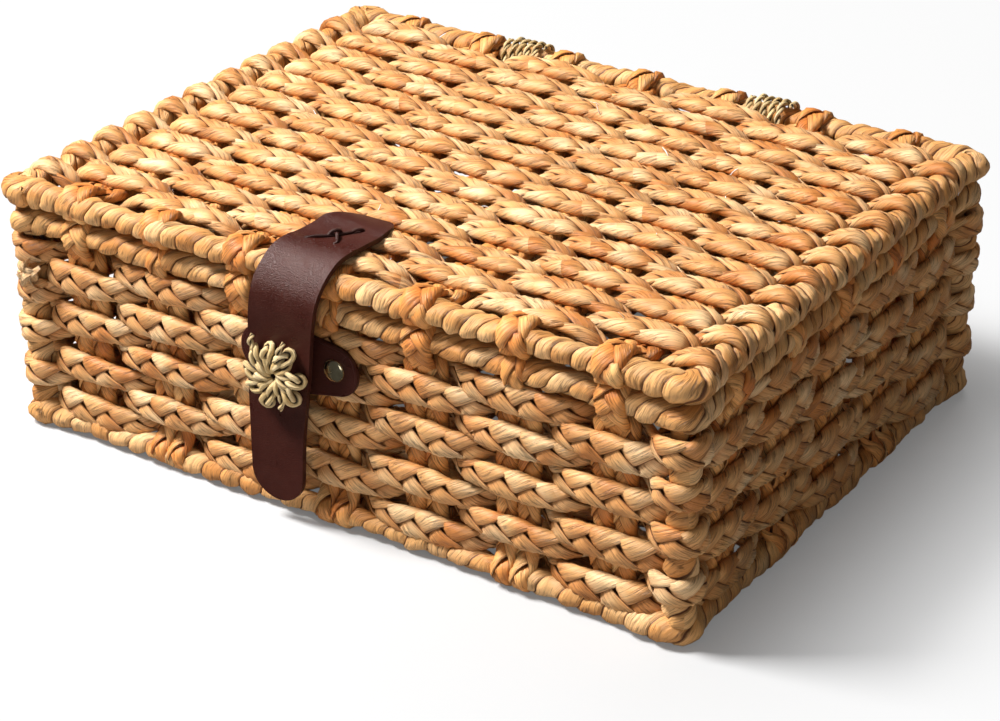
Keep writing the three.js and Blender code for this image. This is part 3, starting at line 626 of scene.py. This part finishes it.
for i, x in enumerate(stake_x):
    odd = i % 2 == 1
    course = body_stake_course(wall_y, 147 * mm, odd, [(0, base_z, 1)])
    stake_piece(f"cross_stake_{i + 1}", course, body_loops(wall_y, 145.5 * mm, odd), x,
                side_from_plan, "box")
for j, y in enumerate(stake_y):
    odd = j % 2 == 1
    under = [(x, base_z + (5.6 if (i % 2 == 0) != odd else -5.6) * mm, 0.95)
             for i, x in enumerate(stake_x)]
    course = body_stake_course(wall_x, 194 * mm, odd, under)
    stake_piece(f"side_stake_{j + 1}", course, body_loops(wall_x, 192.5 * mm, odd), -y,
                up_from_plan, "box")

lid_loop = ((138.0, -6.4, 0.66), (147.5, -7.8, 0.8), (152.9, -4.6, 0.9), (154.2, 0.6, 1.0),
            (151.4, 5.4, 1.0), (145.2, 7.4, 0.96), (138.4, 5.6, 0.86), (132.0, 1.6, 0.62))
strap_stake, strap_press = 3, 2.2 * mm
for i, x in enumerate(stake_x):
    course = [(-143 * mm, 1.0 * mm, 0.7)]
    for row, y in enumerate(lid_row_y):
        row_over = (i % 2 == 1) == (row % 2 == 0)
        course.append((y, -sink if row_over else sink, pressed if row_over else swollen))
    course.append((143 * mm, 1.0 * mm, 0.7))
    loops = [[(sign * y * mm,
               z * mm - (strap_press if i == strap_stake and sign < 0 < z else 0), share)
              for y, z, share in lid_loop] for sign in (-1, 1)]
    stake_piece(f"lid_stake_{i + 1}", course, loops, x,
                Matrix.Translation((0, 0, lid_mid)) @ side_from_plan, "lid")

# Base braids: rows of the walls' plait across the base, between the side stakes. They pass
# over and under the cross stakes, the front and rear lengths in one row and the rest in two.
base_end, base_over, base_under = 176 * mm, 5.4 * mm, -5.2 * mm
for number in range(6):
    name = f"base_braid_{number + 1}"
    y_low, y_high = low[name].y, high[name].y
    rows = []
    count = 1 if number in (0, 5) else 2
    for i in range(count):
        y = y_low + (y_high - y_low) * (i + 0.5) / count
        over_first = (3 * number + i + (0 if number == 0 else -1)) % 2 == 1
        course = [(-base_end, base_z, 0.9)]
        for k, x in enumerate(stake_x):
            level = base_over if (k % 2 == 0) == over_first else base_under
            course.append((x, base_z + level, 0.94))
        course.append((base_end, base_z, 0.9))
        rows.append(lay_along(row_plait, f"{name}_{i}", *points_and_widths(course), lift=-y,
                              turn=up_from_plan, shift=leaf_start(), wander=0.8 * mm))
    braid = join(rows, f"{name}_plait")
    braid.data.materials.append(braid_leaf)
    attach(braid, "box")
    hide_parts(name)

# Rims: wire rings wound with flat leaf. Each turn lies a little over the one before, so the
# rim is a row of plump slanting bands, no two quite alike.
def leaf_wrap(name, pitch, starts, out_radius, up_radius, steps, sides):
    """One turn of a leaf band round X, as wide as the pitch. With more than one start the
    bands lie side by side and slant, and each is open at both ends to run on."""
    groove, skew, flatness, sway = 1.7 * mm, 1.25, 0.45, 0.12
    groove_shade, edge_reach = 0.26, 9 * mm
    band, depth, rim = leaf_grid(steps, sides)
    band.name = name
    for vertex in band.data.vertices:
        across = 0.5 - 0.5 * math.cos(math.pi * (vertex.co.x + 0.5))
        around = vertex.co.y + 0.5
        plump = max(0, math.sin(math.pi * across ** skew)) ** flatness
        turn = math.tau * (around + 0.5)
        vertex.co = (
            pitch * (across - starts * around + sway * math.sin(2 * turn)),
            (out_radius - groove * (1 - plump)) * math.cos(turn),
            (up_radius - groove * (1 - plump)) * math.sin(turn),
        )
        # Painted shade: russet in the groove between bands, and a dark line of shade along each
        # band's edge.
        depth.data[vertex.index].value = groove_shade * (1 - plump)
        edge_gap = min(across, 1 - across) * pitch
        rim.data[vertex.index].value = max(0, 1 - edge_gap / edge_reach)
    girth = math.pi * (out_radius + up_radius) / leaf_scale
    for corner in band.data.uv_layers[0].data:
        across, around = corner.uv
        corner.uv = (around * girth, 0.1 + across * pitch / leaf_scale)
    band["period"], band["leaf_per_period"], band["leaf_step"] = pitch, girth / starts, 1.0
    edit(band, face_out)
    return band


corners = ((1, -1), (1, 1), (-1, 1), (-1, -1))
corner_knots, side_knots = 7, 11


def rounded_rectangle(half_x, half_y, radius, drawn):
    """A closed flat path with straight sides and quarter-round corners, drawn out a little."""
    points = []
    for quarter, (sx, sy) in enumerate(corners):
        for i in range(corner_knots):
            angle = (quarter - 1 + i / (corner_knots - 1)) * math.pi / 2
            out = radius + drawn[quarter] * mm * math.sin(math.pi * (i + 1) / (corner_knots + 1))
            points.append((sx * (half_x - radius) + out * math.cos(angle),
                           sy * (half_y - radius) + out * math.sin(angle)))
        next_x, next_y = corners[(quarter + 1) % 4]
        here = Vector(points[-1])
        there = Vector((next_x * (half_x - radius) + radius * math.cos(angle),
                        next_y * (half_y - radius) + radius * math.sin(angle)))
        for i in range(1, side_knots + 1):
            points.append(tuple(here.lerp(there, i / (side_knots + 1))))
    return points


rim_leaf = dry_leaf("rim_leaf", (0.81, 0.48, 0.210, 1), (0.72, 0.37, 0.125, 1),
                    (0.59, 0.24, 0.058, 1), (0.10, 0.026, 0.006, 1))
lid_band = leaf_wrap("lid_band", 9.8 * mm, 2, 7.9 * mm, 7.0 * mm, steps=8, sides=22)
top_band = leaf_wrap("top_band", 11.6 * mm, 3, 7.7 * mm, 6.9 * mm, steps=8, sides=24)
foot_band = leaf_wrap("foot_band", 12.6 * mm, 2, 7.2 * mm, 6.7 * mm, steps=8, sides=22)
lid_rim_z, top_rim_z, foot_rim_z = 133.9, 118.1, 7.3
for name, body, band, half_x, half_y, radius, centre, corner_share, drawn in (
    ("lid_rim_wrap", "lid", lid_band, 194.4, 147.4, 4, lid_rim_z, 1.14, (0.5, 3, 4, 5.5)),
    ("top_rim_wrap", "box", top_band, 193.0, 146.0, 5, top_rim_z, 1.12, (1.5, 3, 3, 5)),
    ("bottom_rim_wrap", "box", foot_band, 194.4, 147.4, 4, foot_rim_z, 1.24, (0.5, 2, 2, 2)),
):
    points = rounded_rectangle(half_x * mm, half_y * mm, radius * mm, drawn)
    widths = []
    for i in range(len(points)):
        at_corner = i % (corner_knots + side_knots) < corner_knots
        widths.append(corner_share if at_corner else chance.uniform(0.84, 1.04))
    rim = lay_along(band, f"{name}_leaf", points, widths, closed=True, lift=centre * mm,
                    shift=leaf_start(), wander=1.4 * mm, loose=4.2 * mm)
    rim.data.materials.append(rim_leaf)
    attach(rim, body)
    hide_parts(name)

# Corner posts: leaf wound round the wire in each corner. It swells into a lump between the
# rows that pass outside it, and is nipped in where they cross. The front left one also
# carries a frayed knot of paler leaf.
corner_band = leaf_wrap("corner_band", 12.4 * mm, 2, 6.6 * mm, 6.2 * mm, steps=8, sides=22)
straw_leaf = dry_leaf("straw_leaf", (0.88, 0.64, 0.37, 1), (0.82, 0.54, 0.28, 1),
                      (0.70, 0.40, 0.17, 1), (0.12, 0.05, 0.02, 1))
lump_out, lump_share, nip_out, nip_share = 4.4, 1.32, -0.5, 0.84
knot_x, knot_y, knot_z = -188.5, -152.5, 91.0
loose_knot = (
    ((0, 0, 3), (4, 2, 6), (7, 5, 3)), ((0, 1, 3), (-3, 4, 6), (-6, 7, 2)),
    ((1, 0, 4), (3, -4, 6), (5, -8, 2)), ((0, 0, 4), (-4, -2, 7), (-8, -3, 2)),
    ((0, 0, 5), (0, 5, 6), (1, 9, 3)), ((-1, 0, 4), (-2, -5, 6), (-3, -9, 2)),
    ((-3, 1, 5), (1, 3, 7), (5, 0, 5), (2, -3, 6)), ((-4, -4, 2), (0, 0, 8), (5, 3, 4)),
)
for number, (sx, sy) in enumerate(corners):
    name = f"corner_wrap_{number + 1}"
    course = [(2.0 * mm, 8 * mm, 1.0)]
    for row, z in enumerate(row_z):
        if row % 2 == 0:
            course.append((lump_out * mm, z, lump_share))
        else:
            course.append((nip_out * mm, z, nip_share))
    course.append((3.5 * mm, 118 * mm, 0.95))
    diagonal = Vector((sx, sy, 0)).normalized()
    across = Vector((0, 0, 1)).cross(diagonal)
    turn = Matrix((
        (diagonal.x, 0, across.x, sx * post_x), (diagonal.y, 0, across.y, sy * post_y),
        (0, 1, 0, 0), (0, 0, 0, 1),
    ))
    post = lay_along(corner_band, f"{name}_leaf", *points_and_widths(course), turn=turn,
                     shift=leaf_start(), wander=1.2 * mm, loose=3 * mm)
    post.data.materials.append(rim_leaf)
    if (sx, sy) == (-1, -1):
        scraps = []
        for i, scrap in enumerate(loose_knot):
            points = [(knot_x + x, knot_y - out, knot_z + z) for x, z, out in scrap]
            scraps.append(round_cord(f"scrap_{i}", points, 0.3 * mm, flat=1.7 * mm))
        knot = join(scraps, "loose_knot")
        knot.data.materials.append(straw_leaf)
        post = join([post, knot], post.name)
    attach(post, "box")
    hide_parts(name)

# Strap: one length of dark red-brown leather, up to 39 mm wide. It lies on the lid, bends over
# both rims and hangs down the front. Its end on the lid has round corners and its tip is round.
lid_run = ((-96.5, 142.8), (-103, 143.8), (-109, 144.1), (-116, 143.6), (-124, 143.8),
           (-132, 144.2), (-138, 144.9))
bend_y, bend_z, bend_out, bend_up = -141 * mm, 122.5 * mm, 22.4 * mm, 22.6 * mm
bend_knots = 6
hang_run = ((-163.2, 114), (-162.2, 104), (-161.4, 88), (-161.1, 72), (-160.9, 50),
            (-160.5, 30), (-159.8, 11.6))
strap_course = [(y * mm, z * mm) for y, z in lid_run]
for i in range(1, bend_knots + 1):
    angle = i * math.pi / (2 * bend_knots)
    strap_course.append((bend_y - bend_out * math.sin(angle),
                         bend_z + bend_up * math.cos(angle)))
strap_course += [(y * mm, z * mm) for y, z in hang_run]
strap_path = path_through(strap_course, [1] * len(strap_course))
strap_length = strap_path.data.splines[0].calc_length()
# Half the strap's width, and where its middle runs: mm along it, mm.
half_widths = ((0, 16.2), (14, 18.4), (40, 19.2), (70, 19.3), (115, 18.6), (150, 16.4),
               (175, 15.6), (200, 15.3))
centres = ((0, -13.6), (45, -13.6), (62, -14.6), (78, -17.0), (100, -20.6), (125, -23.2),
           (150, -25.0), (200, -27.4))


def between(table, distance):
    """The value of a table of (mm along, mm) at a distance along the strap."""
    for (start, first), (end, last) in zip(table, table[1:]):
        if distance <= end * mm:
            share = (distance / mm - start) / (end - start)
            return (first + (last - first) * share) * mm
    return table[-1][1] * mm


def round_corner(off_centre, half, radius):
    """How far a round corner stands back at a distance from the middle."""
    into = max(0, abs(off_centre) - (half - radius))
    return radius - math.sqrt(max(0, radius * radius - into * into))


bpy.ops.mesh.primitive_grid_add(x_subdivisions=150, y_subdivisions=22, size=1)
strap = bpy.context.object
strap.name = strap.data.name = "leather_strap"
rear_half, tip_half = between(half_widths, 0), 15.3 * mm
left_radius, right_radius = 15 * mm, 6 * mm
ripple_height, ripple_step, ripple_end, cup_depth = 0.7 * mm, 7.5 * mm, 60 * mm, 0.5 * mm
for vertex in strap.data.vertices:
    across = math.sin(math.pi * vertex.co.y)
    rear = round_corner(across * rear_half, rear_half,
                        left_radius if across < 0 else right_radius)
    tip = round_corner(across * tip_half, tip_half, tip_half)
    along = rear + (vertex.co.x + 0.5) * (strap_length - rear - tip)
    ripple = ripple_height * across * math.sin(along / ripple_step)
    ripple *= max(0, 1 - along / ripple_end)
    cup = -cup_depth * across * across
    vertex.co = (along, ripple + cup,
                 between(centres, along) + across * between(half_widths, along))
wrap_over = strap.modifiers.new("wrap_over", "CURVE")
wrap_over.object = strap_path
bpy.ops.object.modifier_apply(modifier="wrap_over")
bpy.data.objects.remove(strap_path)
strap.data.transform(side_from_plan)
edit(strap, face_out)
if sum(face.normal.y for face in strap.data.polygons) > 0:
    edit(strap, bpy.ops.mesh.flip_normals)


def thicken(piece, thickness, rounding, offset=0.0):
    """Gives a flat piece its thickness and round edges."""
    select(piece)
    wall = piece.modifiers.new("wall", "SOLIDIFY")
    wall.thickness, wall.offset = thickness, offset
    edge = piece.modifiers.new("edge", "BEVEL")
    edge.width, edge.segments, edge.angle_limit = rounding, 3, math.radians(50)
    bpy.ops.object.modifier_apply(modifier="wall")
    bpy.ops.object.modifier_apply(modifier="edge")
    bpy.ops.object.shade_smooth()


strap_thickness = 2.6 * mm
thicken(strap, strap_thickness, 0.7 * mm)


def leather(name, tone, worn):
    """Smooth dark leather: a fine pebbled grain, drawn out crosswise, with faint clouding."""
    material, node = new_material(name)
    place = node("TexCoord").outputs["Object"]
    stretch = node("VectorMath", {0: place, 1: (0.7, 2.2, 2.2)}, operation="MULTIPLY")
    cloud = noise(node, 55.0, 3.0, place)
    pebble = node("TexVoronoi", {"Vector": stretch, "Scale": 1250.0}, feature="SMOOTH_F1")
    fine = noise(node, 2600.0, 2.0, stretch)
    base = mix_colour(node, remap(node, cloud, 0.35, 0.7, 0.0, 1.0), tone, worn)
    pit = remap(node, pebble, 0.1, 0.6, 1.15, 0.75)
    grained = mix_colour(node, 1.0, base, pit, "MULTIPLY")
    height = node("Math", {0: pebble, 1: -1.0, 2: fine}, operation="MULTIPLY_ADD")
    bump = node("Bump", {"Strength": 1.0, "Distance": 0.19 * mm, "Height": height})
    rough = remap(node, cloud, 0.3, 0.7, 0.26, 0.33)
    skin = node("BsdfPrincipled", {
        "Base Color": grained, "Roughness": rough, "Normal": bump,
        "Specular IOR Level": 0.26, "Specular Tint": (1.0, 0.90, 0.86, 1),
    })
    node("OutputMaterial", {"Surface": skin})
    return material


strap_leather = leather("strap_leather", (0.044, 0.0092, 0.0060, 1),
                        (0.056, 0.0140, 0.0092, 1))
strap.data.materials.append(strap_leather)
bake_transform(strap)
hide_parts("strap_anchor", "strap_flap")

# Lace: a thin dark cord through two holes in the strap. It ties the strap to the lid and
# shows as one slanting stretch with a small knot in it.
lace_parts = [
    round_cord("lace_run", ((-25, -137.5, 142.6), (-24.4, -136.6, 145.2), (-22, -134, 146.0),
                            (-15, -127, 145.8), (-10, -119.5, 145.6), (-6.6, -113.6, 145.8),
                            (-5.6, -111.8, 143.4)), 0.85 * mm),
    round_cord("lace_tail", ((-13.6, -124.6, 145.4), (-12.0, -126.4, 147.2),
                             (-9.6, -129.4, 146.4), (-8.0, -132.6, 145.7),
                             (-9.0, -134.0, 145.5)), 0.9 * mm),
    round_cord("lace_knot", ((-16.4, -128.0, 145.3), (-15.0, -126.2, 147.4),
                             (-13.2, -123.4, 147.6), (-12.0, -121.6, 145.4)), 1.0 * mm),
]
lace = join(lace_parts, "strap_lace_cord")
lace_leather = leather("lace_leather", (0.030, 0.010, 0.008, 1), (0.05, 0.017, 0.013, 1))
lace.data.materials.append(lace_leather)
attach(lace, "lid")
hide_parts("strap_lace")

# Keeper tab: a strip of the same leather with rounded, tapering ends, laid level on the front
# wall behind the strap. A creased line runs along its edge. One rivet holds each end.
tab_thickness, tab_face = 2.4 * mm, -155.3 * mm
tab_rings = ((-38.0, 89.6, 13.0), (-16.0, 89.6, 17.2), (6.0, 90.4, 13.4))
bpy.ops.mesh.primitive_circle_add(vertices=120, radius=1, fill_type="NGON",
                                  rotation=(math.pi / 2, 0, 0), align="WORLD")
tab = bpy.context.object
tab.name = tab.data.name = "keeper_tab_leather"
bpy.ops.object.transform_apply(location=True, rotation=True, scale=True)
for vertex in tab.data.vertices:
    toward = Vector((vertex.co.x, vertex.co.z)).normalized()
    reach, x, z, radius = max((toward.dot(Vector((x, z))) + radius, x, z, radius)
                              for x, z, radius in tab_rings)
    vertex.co = ((x + radius * toward.x) * mm, tab_face, (z + radius * toward.y) * mm)
if tab.data.polygons[0].normal.y > 0:
    edit(tab, bpy.ops.mesh.flip_normals)
margin, crease_width, crease_depth = 1.5 * mm, 0.35 * mm, 0.3 * mm
edit(tab, lambda: bpy.ops.mesh.inset(thickness=margin),
     lambda: bpy.ops.mesh.inset(thickness=crease_width, depth=-crease_depth),
     lambda: bpy.ops.mesh.inset(thickness=crease_width, depth=crease_depth),
     lambda: bpy.ops.mesh.inset(thickness=2 * margin))
thicken(tab, tab_thickness, 0.6 * mm, offset=-1.0)
bpy.ops.object.shade_smooth_by_angle(angle=math.radians(35))
tab.data.materials.append(strap_leather)
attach(tab, "box")
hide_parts("keeper_tab")

# Rivets: spun brass caps with a low dome, worn bright, on a rolled rim.
cap_radius, cap_rim = 6.0 * mm, 0.5 * mm
cap_rings = ((0.25, 0.45), (0.35, 0.35), (0.5, 0.32), (0.8, 0.36), (1.0, 0.30), (1.1, 0.19),
             (1.1, 0.08))


def metal(node, colour, rough, height, strength):
    """The end of a metal's nodes: its colour and gloss, and scratches from a height."""
    scratch = node("Bump", {"Strength": strength, "Distance": 0.05 * mm, "Height": height})
    skin = node("BsdfPrincipled", {"Base Color": colour, "Metallic": 1.0, "Roughness": rough,
                                   "Normal": scratch})
    node("OutputMaterial", {"Surface": skin})


brass, node = new_material("worn_brass")
tarnish = noise(node, 260.0, 4.0)
dull = remap(node, tarnish, 0.35, 0.7, 0.0, 0.8)
colour = mix_colour(node, dull, (0.86, 0.76, 0.50, 1), (0.60, 0.50, 0.28, 1))
rough = remap(node, tarnish, 0.3, 0.7, 0.16, 0.28)
metal(node, colour, rough, noise(node, 1400.0, 2.0), 0.2)
for name, x, z in (("tab_rivet_left", -38, 89.6), ("tab_rivet_right", 6, 91.0)):
    bpy.ops.mesh.primitive_circle_add(vertices=48, radius=cap_radius, fill_type="NGON")
    cap = bpy.context.object
    cap.name = cap.data.name = f"{name}_cap"
    steps = [face_out, lambda: bpy.ops.mesh.extrude_region_move(
        TRANSFORM_OT_translate={"value": (0, 0, cap_rim)})]
    for inner, rise in cap_rings:
        steps.append(lambda inner=inner, rise=rise: bpy.ops.mesh.inset(
            thickness=inner * mm, depth=rise * mm))
    edit(cap, *steps)
    edit(cap, face_out)
    cap.data.transform(Matrix(((1, 0, 0, x * mm), (0, 0, -1, tab_face), (0, 1, 0, z * mm),
                               (0, 0, 0, 1))))
    select(cap)
    bpy.ops.object.shade_smooth_by_angle(angle=math.radians(60))
    cap.data.materials.append(brass)
    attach(cap, "box")
    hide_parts(name)

# Flower knot: eight petals on the strap, each a loop of two-ply straw cord, with three loose
# ends left standing.
def two_ply(name, radius, lay, steps, sides):
    """One turn of two plies twisted round each other along X."""
    ply_out, ply_radius, ply_groove_shade, leaf_share = 0.48 * radius, 0.52 * radius, 1.15, 0.2
    plies = []
    for ply in range(2):
        strand, depth = leaf_grid(steps, sides)[:2]
        for vertex in strand.data.vertices:
            along, around = vertex.co.x + 0.5, vertex.co.y + 0.5
            twist = math.tau * (along + ply / 2)
            turn = math.tau * around
            y = ply_out * math.cos(twist) + ply_radius * math.cos(turn)
            z = ply_out * math.sin(twist) + ply_radius * math.sin(turn)
            vertex.co = (along * lay, y, z)
            # Painted shade: dark in the groove where the two plies meet.
            depth.data[vertex.index].value = ply_groove_shade * (1 - min(1, math.hypot(y, z) / radius))
        for corner in strand.data.uv_layers[0].data:
            corner.uv = (corner.uv.x * lay / leaf_scale, ply + corner.uv.y * leaf_share)
        plies.append(strand)
    cord = join(plies, name)
    edit(cord, weld, face_out)
    cord["period"], cord["leaf_per_period"] = lay, lay / leaf_scale
    return cord


flower_x, flower_z = -22.8 * mm, 84.2 * mm
flower_out, petal_half = 164.4, 2.35
flower_cord = two_ply("flower_cord", 2.75 * mm, 17 * mm, steps=18, sides=10)
straw = dry_leaf("straw_cord", (0.95, 0.74, 0.42, 1), (0.82, 0.60, 0.29, 1),
                 (0.55, 0.36, 0.14, 1), (0.036, 0.020, 0.008, 1))
# Petals: their angle in degrees and their reach in mm.
petals = ((6, 17.0), (54, 18.0), (98, 15.5), (136, 16.5), (178, 16.5), (214, 17.0),
          (254, 17.0), (322, 16.5))
petal_loop = ((0.10, 0.35, 0.6), (0.38, 0.80, 2.6), (0.72, 1.0, 2.8), (0.95, 0.62, 1.6),
              (1.0, 0.0, 1.2), (0.95, -0.62, 1.6), (0.72, -1.0, 2.8), (0.38, -0.80, 2.6),
              (0.10, -0.35, 0.6))
stems = (((2, 8, 167.4), (5, 13, 168.4), (6.4, 17.5, 168.6), (8.6, 21, 168.0)),
         ((-9, 10, 166.4), (-11.8, 14.0, 167), (-12.6, 17.0, 167), (-11.4, 19.6, 166.4)),
         ((3, -7, 167.4), (6.2, -10.6, 168.0), (5.4, -14, 167.6), (3.6, -17.0, 166.6)))
flower_parts = []
for number, (degrees, reach) in enumerate(petals):
    toward = Vector((math.cos(math.radians(degrees)), math.sin(math.radians(degrees))))
    aside = Vector((-toward.y, toward.x))
    loop = []
    for along, out, rise in petal_loop:
        spot = toward * along * reach + aside * out * petal_half
        loop.append((flower_x + spot.x * mm, flower_z + spot.y * mm,
                     (flower_out + rise + chance.uniform(-0.4, 0.4)) * mm))
    flower_parts.append(lay_along(flower_cord, f"petal_{number}", loop, turn=up_from_plan,
                                  wander=0.8 * mm, shift=leaf_start()))
for number, stem in enumerate(stems):
    end = [(flower_x + x * mm, flower_z + z * mm, out * mm) for x, z, out in stem]
    flower_parts.append(lay_along(flower_cord, f"stem_{number}", end, turn=up_from_plan,
                                  widths=[0.6, 0.66, 0.58, 0.45], wander=0.3 * mm))
flower = join(flower_parts, "flower_knot_cords")
flower.data.materials.append(straw)
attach(flower, "strap")
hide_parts("flower_knot")

# Lashings: two bindings of a thinner straw cord, wound five times round the lid's rear rim and
# the box's rim below it. They are the hinge.
lash_cord = two_ply("lash_cord", 2.0 * mm, 13 * mm, steps=10, sides=8)
lash_turns, lash_pitch, lash_reach, lash_y = 5, 4.7 * mm, 9.6 * mm, 146.0 * mm
knots_per_turn, level = 8, -0.01
for name in ("hinge_lashing_left", "hinge_lashing_right"):
    middle_x = middle(name, 0)
    course = []
    for i in range(lash_turns * knots_per_turn + 1):
        angle = math.pi / 2 + math.tau * i / knots_per_turn
        x = middle_x + (i / knots_per_turn - lash_turns / 2) * lash_pitch
        rim_z = lid_rim_z if math.sin(angle) > level else top_rim_z
        course.append((x, lash_y + lash_reach * math.cos(angle),
                       rim_z * mm + lash_reach * math.sin(angle)))
    lashing = lay_along(lash_cord, f"{name}_cord", course, wander=0.8 * mm, shift=leaf_start())
    lashing.data.materials.append(straw)
    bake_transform(lashing)
    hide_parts(name)

# Steel: the two wire rings with their posts inside the wrapping, and the magnet's plate and
# cap behind the strap, keep their shapes and get drawn-steel and plated-steel finishes.
def steel(name, tone, grain):
    """Steel whose tone and gloss change a little over its grain."""
    material, node = new_material(name)
    drawn = noise(node, grain, 4.0)
    colour = mix_colour(node, 1.0, tone, remap(node, drawn, 0.3, 0.7, 0.75, 1.1), "MULTIPLY")
    metal(node, colour, remap(node, drawn, 0.3, 0.7, 0.28, 0.45), drawn, 0.25)
    return material


wire_steel = steel("drawn_wire", (0.42, 0.41, 0.40, 1), 220.0)
plate_steel = steel("plated_steel", (0.66, 0.65, 0.62, 1), 600.0)
for name, finish in (("box_frame_wire", wire_steel), ("lid_frame_wire", wire_steel),
                     ("magnet_plate", plate_steel), ("magnet_cap", plate_steel)):
    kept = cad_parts[name]
    kept.data.materials.clear()
    kept.data.materials.append(finish)

# Ending: the units that were laid along the pieces go.
for unit in (row_plait, lid_plait, stake_plait, loop_plait, corner_band, lid_band, top_band,
             foot_band, flower_cord, lash_cord):
    bpy.data.objects.remove(unit)
